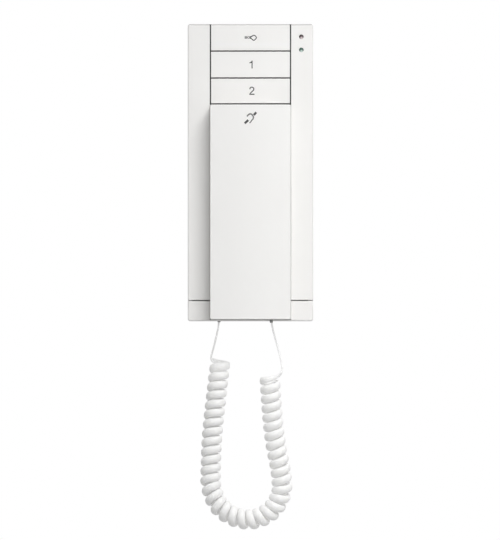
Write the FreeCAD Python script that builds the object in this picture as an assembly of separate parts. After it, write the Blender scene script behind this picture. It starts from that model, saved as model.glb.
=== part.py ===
import FreeCAD, Part
import math
import os

# Indoor audio handset station, in millimetres.
# The wall is the plane y = 0 and the object stands out from it along -Y, with +Z up.
# The origin is the middle of the four wall screw holes, on the back of the wall plate.
# Distances named "out" are measured from the wall towards the room.

V = FreeCAD.Vector

# Housing
housing_width = 86.0
housing_height = 204.0
channel_depth = 8.0
component_room = 10.0
front_crown = 1.2
wall = 2.0
front_wall = 2.2
wall_gap = 0.3
corner_radius = 1.8
edge_radius = 1.0
groove_edge = 0.25

# Strip below the parting line
strip_height = 13.95
parting_gap = 0.6
parting_rib_inset = 0.3
tongue_length = 4.0
tongue_thickness = 1.2

# Channel that holds the keys and the handset
channel_width = 55.7
floor_thickness = 2.0
lip_height = 0.9

# Keys
key_gap = 0.75
top_key_height = 18.2
middle_key_height = 17.75
low_key_height = 17.0
key_travel = 0.8
key_face = 1.8
key_skin = 1.4
key_plunger_radius = 2.0
key_leg_spread = 40.0
key_leg_width = 3.0
key_leg_height = 4.0
key_barb = 1.0
key_barb_length = 1.3

# Fits, and how far a rib sinks into its wall and a cutter runs past a face
running_fit = 0.08
lip_fit = 0.1
slide_gap = 0.15
rest_gap = 0.3
rooted = 0.5
past = 1.0

# Indicators
lamp_radius = 1.5
lamp_shift = 0.5
lamp_top_distance = 8.7
lamp_pitch = 9.0
lamp_dome_height = 0.7
lamp_flange = 0.9
lamp_flange_thickness = 1.2
lamp_chip = 3.0
lamp_chip_height = 1.9

# Wall plate
plate_thickness = 2.2
plate_gap = 0.3
rim_height = 4.0
rim_thickness = 1.5
screw_spacing_x = 60.0
screw_spacing_z = 120.0
wall_screw_hole_radius = 2.2
wall_screw_seat_radius = 4.5
wall_screw_seat_depth = 0.8
cable_opening_width = 30.0
cable_opening_height = 40.0
lug_width = 8.0
lug_length = 1.2
lug_spread = 44.0
lug_out = 3.0
lug_height = 2.0

# Lock screw
lock_screw_x = 20.0
lock_screw_out = 11.0
lock_screw_radius = 1.5
lock_screw_length = 8.0
lock_screw_head_radius = 2.8
lock_screw_head_height = 2.0
lock_block_width = 8.0
lock_block_height = 7.0
lock_wall_width = 18.0
screw_slot = 0.8

# Main board
board_gap = 1.2
board_bottom_gap = 0.5
board_thickness = 1.6
post_height = 4.2
post_radius = 3.5
post_margin = 0.5
board_screw_radius = 1.15
board_screw_length = 5.0
board_screw_head_radius = 2.2
board_screw_head_height = 1.6
upper_right_screw_inset = 16.0
access_hole_radius = 5.5
capacitor_radius = 4.0
capacitor_height = 8.5
capacitor_x = 22.0
capacitor_z = 26.0
capacitor_pitch = 11.0
chip_height = 1.6
chip_places = [(-24.0, 76.0, 12.0, 9.0), (22.0, 10.0, 8.0, 8.0), (-26.0, 38.0, 9.0, 6.0)]

# Key switches
switch_side = 6.0
switch_height = 3.5
stem_radius = 1.75
stem_length = 3.0
stem_depth = 2.8

# Terminals
terminal_pitch = 5.08
terminal_count = 4
terminal_depth = 8.5
terminal_height = 9.0
terminal_wall = 0.5
terminal_screw_radius = 1.5
terminal_screw_sink = 4.0
terminal_screw_length = 3.0
terminal_entry = 3.2
terminal_inset = 9.0
terminal_gap = 1.4

# Address switches
dial_side = 10.0
dial_height = 5.0
dial_radius = 3.0
dial_depth = 3.0
dial_slot = 0.8
dial_spacing = 14.0
dial_z = 18.0

# Call tone speaker
speaker_radius = 14.0
speaker_depth = 5.0
speaker_magnet_radius = 7.0
speaker_magnet_depth = 3.0
speaker_ring_depth = 4.0
speaker_gap = 4.0
sound_slot_width = 1.6
sound_slot_pitch = 4.0
sound_slot_count = 5

# Hook
hook_drop = 4.0
hook_travel = 3.0
hook_radius = 2.5
hook_flange_radius = 4.0
hook_flange_thickness = 1.5
hook_stem_radius = 1.5
hook_stem_gap = 1.5
hook_arm_length = 9.0
hook_switch_x = 7.0
spring_wire = 0.5
spring_radius = 2.6
spring_turns = 4
spring_end_gap = 0.05

# Magnets and bumpers of the cradle, keepers of the handset
magnet_radius = 5.0
magnet_thickness = 2.0
keeper_thickness = 1.5
upper_magnet_spread = 36.0
upper_magnet_inset = 43.6
lower_magnet_spread = 28.0
lower_magnet_inset = 33.5
bumper_radius = 3.0
bumper_height = 0.55
bumper_sink = 0.5
bumper_side_inset = 6.0
bumper_top_inset = 16.0
bumper_bottom_inset = 17.0

# Handset
handset_side_gap = 0.2
handset_gap = 0.4
handset_top_gap = 0.25
handset_rest = 0.8
handset_depth = 24.7
handset_crown = 1.0
handset_back_depth = 10.2
handset_wall = 2.0
handset_back_wall = 2.6
handset_corner_radius = 1.0
handset_edge_radius = 0.4
grip_scoop_depth = 6.0
grip_scoop_gap = 2.0
lip_thickness = 1.2

# Receiver
receiver_inset = 22.6
receiver_radius = 15.0
receiver_depth = 8.0
receiver_cup_radius = 10.0
receiver_cup_depth = 2.3
receiver_ring_depth = 7.0
gasket_thickness = 0.8
gasket_bore_radius = 12.0
holder_wall = 1.2
hearing_coil_inner_radius = 17.0
hearing_coil_outer_radius = 19.5
hearing_coil_height = 3.0
sound_hole_radius = 0.9
sound_hole_pitch = 4.5
dish_radius = 17.0
dish_depth = 1.0

# Microphone
microphone_inset = 14.5
microphone_radius = 4.85
microphone_depth = 5.0
microphone_hole_radius = 0.45
microphone_hole_pitch = 1.8
boot_wall = 1.0
boot_radius = 6.5
boot_height = 6.5
boot_ring_depth = 5.3

# Handset board and screws
handset_board_gap = 1.0
handset_board_height = 23.0
handset_board_width = 42.0
handset_board_screw_length = 4.5
handset_screw_radius = 1.25
handset_screw_length = 12.0
handset_screw_head_radius = 2.3
handset_screw_head_height = 1.8
handset_screw_sink = 0.2
handset_boss_radius = 3.25
handset_boss_height = 1.6
handset_top_screw_spread = 41.0
handset_top_screw_inset = 8.6

# Cord sockets and plugs
socket_width = 11.6
socket_thickness = 11.0
socket_length = 14.0
socket_recess = 2.1
plug_width = 7.7
plug_thickness = 6.6
plug_length = 13.0
plug_fit = 0.15
plug_recess = 0.6
plug_latch = 1.4
plug_latch_width = 3.85
base_plug_x = -22.3
base_plug_out = 11.0
handset_plug_x = 14.3
handset_plug_depth = 12.2

# Curly cord: the round tube stands for a flat cord of about the same section
cord_diameter = 3.9
coil_radius = 5.3
coil_turns = 37
coil_out_start = 12.5
coil_out_end = 30.5
axis_samples = 40

# Leads inside, and how far they go aside and back on their way
lead_wire_radius = 0.6
lead_wire_pitch = 1.6
ringer_lead_gap = 2.0
ringer_lead_rise = 4.0
socket_lead_shift = 1.3
socket_lead_drop = 5.6
receiver_lead_shift = 7.2

# Housing places worked out from the sizes above
half_width = housing_width / 2
top = housing_height / 2
bottom = -top
channel = channel_width / 2
rim_out = plate_thickness + rim_height
board_back = plate_thickness + post_height
board_front = board_back + board_thickness
board_edge_out = board_front - board_thickness / 2
floor_back = board_front + component_room
floor_out = floor_back + floor_thickness
housing_depth = floor_out + channel_depth
inner_half = half_width - wall
inner_top = top - wall
inner_front = housing_depth - front_wall
crown_out = housing_depth + front_crown
strip_top = bottom + strip_height
shell_bottom = strip_top + parting_gap
lip_top = bottom + lip_height
plate_half = inner_half - plate_gap
plate_top = inner_top - plate_gap
lock_low = shell_bottom + wall + slide_gap

# Key and indicator places
key_half = channel - key_gap
key_skirt_out = floor_out + key_travel + rest_gap
key_face_out = housing_depth - key_face
key_spans = []
key_upper = top
for height in (top_key_height, middle_key_height, low_key_height):
    key_spans.append((key_upper - height, key_upper))
    key_upper = key_upper - height - key_gap
key_names = ("door", "one", "two")
key_middles = [(low + high) / 2 for low, high in key_spans]
switch_front = board_front + switch_height
stem_back = switch_front - stem_depth + key_travel + rest_gap
stem_front = stem_back + stem_length
lamp_x = (channel + half_width) / 2 - lamp_shift
lamp_heights = [top - lamp_top_distance - lamp_pitch * i for i in range(2)]
chip_front = board_front + lamp_chip_height

# Board places
board_half = plate_half - rim_thickness - board_gap
board_top = plate_top - rim_thickness - board_gap
upper_magnet_z = key_upper - upper_magnet_inset
terminal_top = upper_magnet_z - magnet_radius - lip_fit - wall - terminal_gap
terminal_bottom = terminal_top - terminal_depth
board_bottom = terminal_bottom - post_margin
cable_opening_top = board_bottom - board_bottom_gap
terminal_left = -board_half + terminal_inset
terminal_width = terminal_count * terminal_pitch + 2 * terminal_wall
terminal_middle = terminal_bottom + terminal_depth / 2
terminal_front = board_front + terminal_height
terminal_xs = [terminal_left + terminal_wall + terminal_pitch * (i + 0.5) for i in range(terminal_count)]
dial_places = [(terminal_left + dial_side / 2 + dial_spacing * i, dial_z) for i in range(2)]
dial_front = board_front + dial_height
dial_seat = dial_front - dial_depth

# Handset places
handset_top = key_upper - handset_top_gap
handset_bottom = lip_top + handset_gap
handset_half = channel - handset_side_gap
handset_back_out = floor_out + handset_rest
handset_front = handset_back_out + handset_depth
handset_parting_out = handset_back_out + handset_back_depth
handset_inner_half = handset_half - handset_wall
handset_inner_back = handset_back_out + handset_back_wall
handset_inner_front = handset_front - handset_wall
handset_inner_top = handset_top - handset_wall
handset_inner_bottom = handset_bottom + handset_wall
lower_magnet_z = handset_bottom + lower_magnet_inset
grip_z = (upper_magnet_z + lower_magnet_z) / 2
grip_half = (upper_magnet_z - lower_magnet_z) / 2 - magnet_radius - grip_scoop_gap
grip_scoop_radius = (grip_half ** 2 + grip_scoop_depth ** 2) / (2 * grip_scoop_depth)
receiver_z = handset_top - receiver_inset
receiver_out = handset_inner_back + gasket_thickness
receiver_back = receiver_out + receiver_depth
microphone_z = handset_bottom + microphone_inset
microphone_out = handset_inner_back + boot_wall
microphone_back = microphone_out + microphone_depth
handset_seat = handset_back_out + handset_screw_head_height + handset_screw_sink
handset_boss_out = handset_inner_back + handset_boss_height
handset_plug_out = handset_back_out + handset_plug_depth
handset_board_out = handset_plug_out + socket_thickness / 2
handset_board_low = handset_inner_bottom + handset_board_gap
handset_board_high = handset_board_low + handset_board_height

# Hook, speaker and cord places
hook_z = upper_magnet_z - hook_drop
hook_flange_out = floor_back - rest_gap - hook_travel - hook_flange_thickness
spring_length = hook_flange_out - board_front - spring_end_gap
speaker_z = terminal_bottom - speaker_gap - speaker_radius
speaker_back = floor_back - speaker_depth
base_socket_low = bottom + wall + socket_recess
base_plug_end = bottom + plug_recess
handset_socket_low = handset_bottom + socket_recess
handset_plug_end = handset_bottom + plug_recess
cord_radius = cord_diameter / 2


def spot(x, out, z):
    """A point by its distance out from the wall."""
    return V(x, -out, z)


def block(x0, x1, out0, out1, z0, z1):
    """A box between two distances from the wall."""
    return Part.makeBox(x1 - x0, out1 - out0, z1 - z0, spot(x0, out1, z0))


def pad(x, z, width, height, out0, out1):
    """A box centred on x and z, between two distances from the wall."""
    return block(x - width / 2, x + width / 2, out0, out1, z - height / 2, z + height / 2)


def mirrored_block(side, x0, x1, out0, out1, z0, z1):
    """A box on the right, or its mirror image on the left."""
    left, right = sorted((side * x0, side * x1))
    return block(left, right, out0, out1, z0, z1)


def rod(radius, x, z, out0, out1):
    """A round bar that points out from the wall."""
    return Part.makeCylinder(radius, out1 - out0, spot(x, out0, z), V(0, -1, 0))


def upright(radius, x, out, z0, z1):
    """A round bar that stands upright."""
    return Part.makeCylinder(radius, z1 - z0, spot(x, out, z0), V(0, 0, 1))


def ring(outer_radius, inner_radius, x, z, out0, out1):
    """A round sleeve that points out from the wall."""
    return rod(outer_radius, x, z, out0, out1).cut(rod(inner_radius, x, z, out0 - past, out1 + past))


def holder(radius, thickness, x, z, out0, out1):
    """A round wall that fits round a part of the given radius."""
    return ring(radius + lip_fit + thickness, radius + lip_fit, x, z, out0, out1)


def joined(shapes):
    """All the shapes fused into one."""
    return shapes[0].multiFuse(shapes[1:]).removeSplitter()


def carved(shape, cutters):
    """The shape without the cutters."""
    for cutter in cutters:
        shape = shape.cut(cutter)
    return shape


def save(name, shape):
    """Write one named piece."""
    if not shape.isValid():
        raise ValueError(name + " is not a valid shape")
    if len(shape.Solids) == 1:
        shape = shape.Solids[0]
    shape.exportStep("parts/" + name + ".step")


def crown_height(x, half, crown):
    """How far a front that bulges by crown at its middle stands out at x."""
    radius = (half ** 2 + crown ** 2) / (2 * crown)
    return crown - radius + math.sqrt(radius ** 2 - x ** 2)


def crowned_block(half, low, high, back, front, crown, corner, edge):
    """A block whose front bulges, with rounded corners and a rounded front edge."""
    back_left = spot(-half, back, low)
    front_left = spot(-half, front, low)
    front_right = spot(half, front, low)
    back_right = spot(half, back, low)
    sides = [
        Part.makeLine(back_left, front_left),
        Part.Arc(front_left, spot(0, front + crown, low), front_right).toShape(),
        Part.makeLine(front_right, back_right),
        Part.makeLine(back_right, back_left),
    ]
    body = Part.Face(Part.Wire(sides)).extrude(V(0, 0, high - low))
    corners = [e for e in body.Edges if abs(e.tangentAt(e.FirstParameter).y) > 0.99]
    body = body.makeFillet(corner, corners)
    loop = [e for e in body.Edges if max(v.Y for v in e.Vertexes) < edge - front]
    return body.makeFillet(edge, loop)


def lies_at(low, high, values):
    """Whether a span is one of the given values."""
    return any(abs(low - value) < 0.01 and abs(high - value) < 0.01 for value in values)


def rounded_front(shape, x_values, z_values):
    """Round the edges of the housing's front that lie at the given x or z."""
    chosen = []
    for edge in shape.Edges:
        box = edge.BoundBox
        along_side = lies_at(box.XMin, box.XMax, x_values)
        along_end = lies_at(box.ZMin, box.ZMax, z_values)
        if box.YMax < 0.01 - housing_depth and (along_side or along_end):
            chosen.append(edge)
    return shape.makeFillet(groove_edge, chosen)


# Where repeated features go
def key_leg_places():
    """Side and height of each key leg."""
    return [(side * key_leg_spread / 2, z) for z in key_middles for side in (-1, 1)]


def wall_screw_places():
    """Side and height of the four wall screws."""
    return [(sx * screw_spacing_x / 2, sz * screw_spacing_z / 2) for sx in (-1, 1) for sz in (-1, 1)]


def board_screw_places():
    """Side and height of the board's four screws."""
    inset = post_radius + post_margin
    return [
        (-board_half + inset, board_top - inset),
        (board_half - upper_right_screw_inset, board_top - inset),
        (-board_half + inset, board_bottom + inset),
        (board_half - inset, board_bottom + inset),
    ]


def magnet_places():
    """Side and height of the four magnets."""
    places = []
    for side in (-1, 1):
        places.append((side * upper_magnet_spread / 2, upper_magnet_z))
        places.append((side * lower_magnet_spread / 2, lower_magnet_z))
    return places


def bumper_places():
    """Side and height of the four soft bumpers in the cradle."""
    x = handset_half - bumper_side_inset
    heights = (handset_top - bumper_top_inset, handset_bottom + bumper_bottom_inset)
    return [(side * x, z) for side in (-1, 1) for z in heights]


def handset_screw_places():
    """Side and height of the three screws through the handset's shells."""
    upper = handset_top - handset_top_screw_inset
    half_spread = handset_top_screw_spread / 2
    return [(-half_spread, upper), (half_spread, upper), (0, lower_magnet_z)]


def handset_board_screw_places():
    """Side and height of the three screws of the handset's board."""
    inset = handset_boss_radius + post_margin
    x = handset_board_width / 2 - inset
    high = handset_board_high - inset
    return [(-x, handset_board_low + inset), (-x, high), (x, high)]


def sound_hole_places():
    """Side and height of the receiver's sound holes."""
    places = [(0, receiver_z)]
    for circle in (1, 2):
        radius = sound_hole_pitch * circle
        for i in range(6 * circle):
            angle = 2 * math.pi * i / (6 * circle)
            places.append((radius * math.cos(angle), receiver_z + radius * math.sin(angle)))
    return places


# Housing: one outer form, cut into the shell and the strip below it
outer = crowned_block(
    half_width, bottom, top, wall_gap, housing_depth, front_crown, corner_radius, edge_radius
)
trough = block(-channel - wall, channel + wall, floor_back, housing_depth, bottom, top)
hollow = block(-inner_half, inner_half, 0, inner_front, -inner_top, inner_top).cut(trough)
channel_room = block(-channel, channel, floor_out, crown_out + past, lip_top, top + past)
shell = carved(outer, [hollow, channel_room])


def front_housing():
    """White shell with the key well, the cradle recess and the seats behind them."""
    body = shell.common(block(-half_width, half_width, 0, crown_out + past, shell_bottom, top))
    body = rounded_front(body, (-channel, channel), (shell_bottom,))
    seats = []
    cuts = []
    for z in key_middles:
        cuts.append(rod(key_plunger_radius + running_fit, 0, z, floor_back - past, floor_out + past))
    for x, z in key_leg_places():
        width = key_leg_width + 2 * slide_gap
        height = key_leg_height + 2 * slide_gap
        cuts.append(pad(x, z, width, height, floor_back - past, floor_out + past))
    for z in lamp_heights:
        cuts.append(rod(lamp_radius + running_fit, lamp_x, z, inner_front - past, crown_out))
    cuts.append(rod(hook_radius + running_fit, 0, hook_z, floor_back - past, floor_out + past))
    for x, z in magnet_places():
        seats.append(holder(magnet_radius, wall, x, z, floor_back - magnet_thickness, floor_back))
        cuts.append(rod(magnet_radius + lip_fit, x, z, floor_back - speaker_ring_depth, floor_back))
    for x, z in bumper_places():
        cuts.append(rod(bumper_radius + lip_fit, x, z, floor_out - bumper_sink, floor_out + past))
    seats.append(holder(speaker_radius, wall, 0, speaker_z, floor_back - speaker_ring_depth, floor_back))
    cuts.append(rod(speaker_radius + lip_fit, 0, speaker_z, floor_back - speaker_ring_depth, floor_back))
    for i in range(sound_slot_count):
        rise = (i - (sound_slot_count - 1) / 2) * sound_slot_pitch
        width = 2 * math.sqrt((speaker_radius - wall) ** 2 - rise ** 2)
        z = speaker_z + rise
        cuts.append(pad(0, z, width, sound_slot_width, floor_back - past, floor_out + past))
    cross_wall = pad(
        lock_screw_x, shell_bottom + wall / 2, lock_wall_width, wall, rim_out + rest_gap, floor_back
    )
    seats.append(cross_wall)
    cuts.append(
        upright(
            lock_screw_radius + slide_gap, lock_screw_x, lock_screw_out,
            shell_bottom - past, shell_bottom + wall + past,
        )
    )
    lug_end = plate_top + lug_length + slide_gap
    for side in (-1, 1):
        near = (lug_spread - lug_width) / 2 - slide_gap
        far = (lug_spread + lug_width) / 2 + slide_gap
        low_out = lug_out - slide_gap
        high_out = lug_out + lug_height + slide_gap
        cuts.append(mirrored_block(side, near, far, low_out, high_out, inner_top - past, lug_end))
    return carved(joined([body] + seats), cuts)


def bottom_cover():
    """Strip over the plug and the lock screw, with two tongues, and ribs that close the parting gap."""
    body = shell.common(block(-half_width, half_width, 0, crown_out + past, bottom, strip_top))
    body = rounded_front(body, (-channel, channel), (strip_top,))
    tongues = []
    back = rim_out + rest_gap
    front = floor_back - wall
    inside = plate_half - tongue_thickness
    low = strip_top - tongue_length
    high = shell_bottom + tongue_length
    for side in (-1, 1):
        tongues.append(mirrored_block(side, inside, inner_half + lip_fit, back, front, low, strip_top))
        tongues.append(mirrored_block(side, inside, plate_half, back, front, low, high))
        rib_end = half_width - parting_rib_inset
        rib_top = shell_bottom - lip_fit
        tongues.append(
            mirrored_block(side, inner_half, rib_end, wall_gap, floor_out, strip_top - rooted, rib_top)
        )
    return joined([body] + tongues).cut(plug_exit(base_plug_x, base_plug_out, bottom))


def plug_exit(x, out, low):
    """Opening in a bottom wall for a cord plug."""
    width = plug_width + 2 * rest_gap
    reach = plug_thickness / 2 + rest_gap
    return block(x - width / 2, x + width / 2, out - reach, out + reach, low - past, low + wall + past)


def wall_plate():
    """Plate that screws to the wall box and carries the board and the cord socket."""
    body = block(-plate_half, plate_half, 0, rim_out, -plate_top, plate_top)
    inside = plate_half - rim_thickness
    inside_top = plate_top - rim_thickness
    body = body.cut(block(-inside, inside, plate_thickness, rim_out + past, -inside_top, inside_top))
    platform = pad(
        base_plug_x, base_socket_low + socket_length / 2, socket_width, socket_length,
        plate_thickness, base_plug_out - socket_thickness / 2,
    )
    lock_block = pad(
        lock_screw_x, lock_low + lock_block_height / 2, lock_block_width, lock_block_height,
        plate_thickness, lock_screw_out + lock_block_width / 2,
    )
    parts = [body, platform, lock_block]
    for x, z in board_screw_places():
        parts.append(rod(post_radius, x, z, plate_thickness, board_back))
    for side in (-1, 1):
        near = (lug_spread - lug_width) / 2
        far = (lug_spread + lug_width) / 2
        lug_end = plate_top + lug_length
        parts.append(mirrored_block(side, near, far, lug_out, lug_out + lug_height, inside_top, lug_end))
    cuts = []
    for x, z in board_screw_places():
        cuts.append(rod(board_screw_radius + lip_fit / 2, x, z, plate_thickness, board_back + past))
    cuts.append(
        upright(
            lock_screw_radius + lip_fit / 2, lock_screw_x, lock_screw_out,
            lock_low - past, lock_low + lock_block_height + past,
        )
    )
    seat_out = plate_thickness - wall_screw_seat_depth
    for x, z in wall_screw_places():
        cuts.append(rod(wall_screw_hole_radius, x, z, -past, plate_thickness + past))
        cuts.append(rod(wall_screw_seat_radius, x, z, seat_out, plate_thickness + past))
    opening_middle = cable_opening_top - cable_opening_height / 2
    cuts.append(
        pad(0, opening_middle, cable_opening_width, cable_opening_height, -past, plate_thickness + past)
    )
    return carved(joined(parts), cuts)


def lock_screw():
    """Upright screw that holds the housing on the wall plate."""
    head_low = shell_bottom - lock_screw_head_height
    shank = upright(
        lock_screw_radius, lock_screw_x, lock_screw_out, shell_bottom, shell_bottom + lock_screw_length
    )
    head = upright(lock_screw_head_radius, lock_screw_x, lock_screw_out, head_low, shell_bottom)
    slot = block(
        lock_screw_x - lock_screw_head_radius, lock_screw_x + lock_screw_head_radius,
        lock_screw_out - screw_slot / 2, lock_screw_out + screw_slot / 2,
        head_low - past, head_low + lock_screw_head_height / 2,
    )
    return joined([shank, head]).cut(slot)


# Keys
def key_cap(low, high):
    """One wide key with its plunger and its two snap legs."""
    cap = outer.common(block(-key_half, key_half, key_skirt_out, crown_out + past, low, high))
    ends = [z for z in (low, high) if z < top]
    cap = rounded_front(cap, (-key_half, key_half), ends)
    inside = key_half - key_skin
    cap = cap.cut(block(-inside, inside, key_skirt_out - past, key_face_out, low + key_skin, high - key_skin))
    z = (low + high) / 2
    face = key_face_out + rooted
    parts = [cap, rod(key_plunger_radius, 0, z, stem_front, face)]
    barb_front = floor_back - rest_gap
    barb_back = barb_front - key_barb_length
    near = (key_leg_spread - key_leg_width) / 2
    far = (key_leg_spread + key_leg_width) / 2
    leg_low = z - key_leg_height / 2
    leg_high = z + key_leg_height / 2
    for side in (-1, 1):
        parts.append(mirrored_block(side, near, far, barb_back, face, leg_low, leg_high))
        parts.append(
            mirrored_block(side, far - rooted, far + key_barb, barb_back, barb_front, leg_low, leg_high)
        )
    return joined(parts)


def key_switches():
    """Bodies of the three key switches, each with a bore for its stem."""
    bodies = []
    for z in key_middles:
        body = pad(0, z, switch_side, switch_side, board_front, switch_front)
        bore = rod(stem_radius + running_fit, 0, z, switch_front - stem_depth, switch_front + past)
        bodies.append(body.cut(bore))
    return Part.makeCompound(bodies)


def switch_stem(low, high):
    """Moving stem of one key switch."""
    return rod(stem_radius, 0, (low + high) / 2, stem_back, stem_front)


# Indicators
def light_pipe(z):
    """Clear round pin from a lamp chip to the front of the right flank."""
    face = housing_depth + crown_height(lamp_x, half_width, front_crown)
    dome_radius = (lamp_radius ** 2 + lamp_dome_height ** 2) / (2 * lamp_dome_height)
    ball = Part.makeSphere(dome_radius, spot(lamp_x, face + lamp_dome_height - dome_radius, z))
    dome = rod(lamp_radius, lamp_x, z, face, face + lamp_dome_height).common(ball)
    pin = rod(lamp_radius, lamp_x, z, chip_front + rest_gap, face)
    flange_back = inner_front - lamp_flange_thickness
    flange = rod(lamp_radius + lamp_flange, lamp_x, z, flange_back, inner_front)
    return joined([pin, dome, flange])


def status_leds():
    """Two lamp chips on the board, under the light pipes."""
    chips = [pad(lamp_x, z, lamp_chip, lamp_chip, board_front, chip_front) for z in lamp_heights]
    return Part.makeCompound(chips)


# Main board
def main_board():
    """Board with holes for its screws and for the upper wall screws."""
    body = block(-board_half, board_half, board_back, board_front, board_bottom, board_top)
    holes = []
    for x, z in board_screw_places():
        holes.append(rod(board_screw_radius + slide_gap, x, z, board_back - past, board_front + past))
    for x, z in wall_screw_places():
        if z > 0:
            holes.append(rod(access_hole_radius, x, z, board_back - past, board_front + past))
    return carved(body, holes)


def slotted_screw(radius, length, head_radius, head_height, x, z, seat_out, way):
    """Screw seated at seat_out, whose shank runs out from the wall if way is 1, or in if it is -1."""
    shank_low, shank_high = sorted((seat_out, seat_out + way * length))
    head_low, head_high = sorted((seat_out, seat_out - way * head_height))
    slot_low, slot_high = sorted((seat_out - way * head_height / 2, seat_out - way * (head_height + past)))
    shank = rod(radius, x, z, shank_low, shank_high)
    head = rod(head_radius, x, z, head_low, head_high)
    slot = pad(x, z, 2 * head_radius, screw_slot, slot_low, slot_high)
    return joined([shank, head]).cut(slot)


def board_screw(x, z, length, seat_out, way):
    """One small screw of a circuit board."""
    return slotted_screw(
        board_screw_radius, length, board_screw_head_radius, board_screw_head_height, x, z, seat_out, way
    )


def board_screws():
    """Four screws that hold the board on the plate's posts."""
    screws = [board_screw(x, z, board_screw_length, board_front, -1) for x, z in board_screw_places()]
    return Part.makeCompound(screws)


def terminal_block():
    """Screw terminals for the riser wires, with their entries facing down."""
    body = block(
        terminal_left, terminal_left + terminal_width, board_front, terminal_front,
        terminal_bottom, terminal_bottom + terminal_depth,
    )
    cuts = []
    half_entry = terminal_entry / 2
    for x in terminal_xs:
        screw_seat = terminal_front - terminal_screw_sink
        screw_hole = terminal_screw_radius + slide_gap
        cuts.append(rod(screw_hole, x, terminal_middle, screw_seat, terminal_front + past))
        cuts.append(
            block(
                x - half_entry, x + half_entry, board_front + half_entry, board_front + 3 * half_entry,
                terminal_bottom - past, terminal_middle,
            )
        )
    return carved(body, cuts)


def terminal_screws():
    """One small screw in each terminal."""
    screws = []
    low = terminal_front - terminal_screw_sink
    high = low + terminal_screw_length
    for x in terminal_xs:
        screw = rod(terminal_screw_radius, x, terminal_middle, low, high)
        slot = pad(x, terminal_middle, 2 * terminal_screw_radius, screw_slot, high - screw_slot, high + past)
        screws.append(screw.cut(slot))
    return Part.makeCompound(screws)


def address_switches():
    """Bodies of the two rotary address switches."""
    bodies = []
    for x, z in dial_places:
        body = pad(x, z, dial_side, dial_side, board_front, dial_front)
        bodies.append(body.cut(rod(dial_radius + running_fit, x, z, dial_seat, dial_front + past)))
    return Part.makeCompound(bodies)


def address_rotor(x, z):
    """Rotor of one address switch, with a slot for a screwdriver."""
    slot = pad(x, z, 2 * dial_radius, dial_slot, dial_front - dial_slot, dial_front + past)
    return rod(dial_radius, x, z, dial_seat, dial_front).cut(slot)


def board_capacitors():
    """Upright capacitors beside the key switches."""
    heights = [capacitor_z + capacitor_pitch * i for i in range(2)]
    front = board_front + capacitor_height
    return Part.makeCompound([rod(capacitor_radius, capacitor_x, z, board_front, front) for z in heights])


def board_chips():
    """Flat chips on the board."""
    front = board_front + chip_height
    chips = [pad(x, z, width, height, board_front, front) for x, z, width, height in chip_places]
    return Part.makeCompound(chips)


# Call tone speaker
def ringer_speaker():
    """Round speaker under the sound slots of the cradle."""
    return rod(speaker_radius, 0, speaker_z, speaker_back, floor_back)


def ringer_magnet():
    """Magnet cup on the speaker's back."""
    return rod(speaker_magnet_radius, 0, speaker_z, speaker_back - speaker_magnet_depth, speaker_back)


# Hook
def hook_plunger():
    """Pin that the handset holds in, with the arm that works the hook switch."""
    flange_front = hook_flange_out + hook_flange_thickness
    half_arm = hook_stem_radius
    return joined([
        rod(hook_radius, 0, hook_z, hook_flange_out, handset_back_out - slide_gap),
        rod(hook_flange_radius, 0, hook_z, hook_flange_out, flange_front),
        rod(hook_stem_radius, 0, hook_z, board_front + hook_stem_gap, hook_flange_out),
        block(0, hook_arm_length, hook_flange_out, flange_front, hook_z - half_arm, hook_z + half_arm),
    ])


def hook_switch():
    """Switch under the plunger's arm."""
    body = pad(hook_switch_x, hook_z, switch_side, switch_side, board_front, switch_front)
    stem = rod(hook_stem_radius, hook_switch_x, hook_z, switch_front, hook_flange_out - slide_gap)
    return joined([body, stem])


# Magnets and bumpers
def cradle_magnets():
    """Four discs that hold the handset in its cradle."""
    back = floor_back - magnet_thickness
    return Part.makeCompound([rod(magnet_radius, x, z, back, floor_back) for x, z in magnet_places()])


def cradle_bumpers():
    """Four soft dots that the handset rests on."""
    seat = floor_out - bumper_sink
    front = floor_out + bumper_height
    return Part.makeCompound([rod(bumper_radius, x, z, seat, front) for x, z in bumper_places()])


# Cord sockets and plugs
def socket(x, out, low):
    """Modular socket that opens downward."""
    half_width = socket_width / 2
    half_depth = socket_thickness / 2
    body = block(x - half_width, x + half_width, out - half_depth, out + half_depth, low, low + socket_length)
    half_width = plug_width / 2 + plug_fit
    half_depth = plug_thickness / 2 + plug_fit
    room = block(
        x - half_width, x + half_width, out - half_depth, out + half_depth,
        low - past, low + socket_length - wall,
    )
    return body.cut(room)


def plug(x, out, low):
    """Modular plug with its latch, pushed up into the socket."""
    back = out - plug_thickness / 2
    front = out + plug_thickness / 2
    high = low + plug_length
    half = plug_width / 2
    half_latch = plug_latch_width / 2
    body = block(x - half, x + half, back, front - plug_latch, low, high)
    latch_front = front - plug_latch / 2
    latch = block(x - half_latch, x + half_latch, front - plug_latch, latch_front, low + plug_latch, high)
    return joined([body, latch])


# Handset
def scoop(more):
    """Round cutter across the handset's back, grown by more."""
    out = handset_back_out + grip_scoop_depth - grip_scoop_radius
    start = spot(-channel, out, grip_z)
    return Part.makeCylinder(grip_scoop_radius + more, channel_width, start, V(1, 0, 0))


handset_form = crowned_block(
    handset_half, handset_bottom, handset_top, handset_back_out, handset_front,
    handset_crown, handset_corner_radius, handset_edge_radius,
)
handset_room = block(
    -handset_inner_half, handset_inner_half, handset_inner_back, handset_inner_front,
    handset_inner_bottom, handset_inner_top,
).cut(scoop(handset_back_wall))
handset_walls = carved(handset_form, [scoop(0), handset_room])
handset_exit = plug_exit(handset_plug_x, handset_plug_out, handset_bottom)


def handset_slice(out0, out1):
    """The handset's walls between two distances from the wall."""
    return handset_walls.common(block(-channel, channel, out0, out1, handset_bottom, handset_top))


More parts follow.
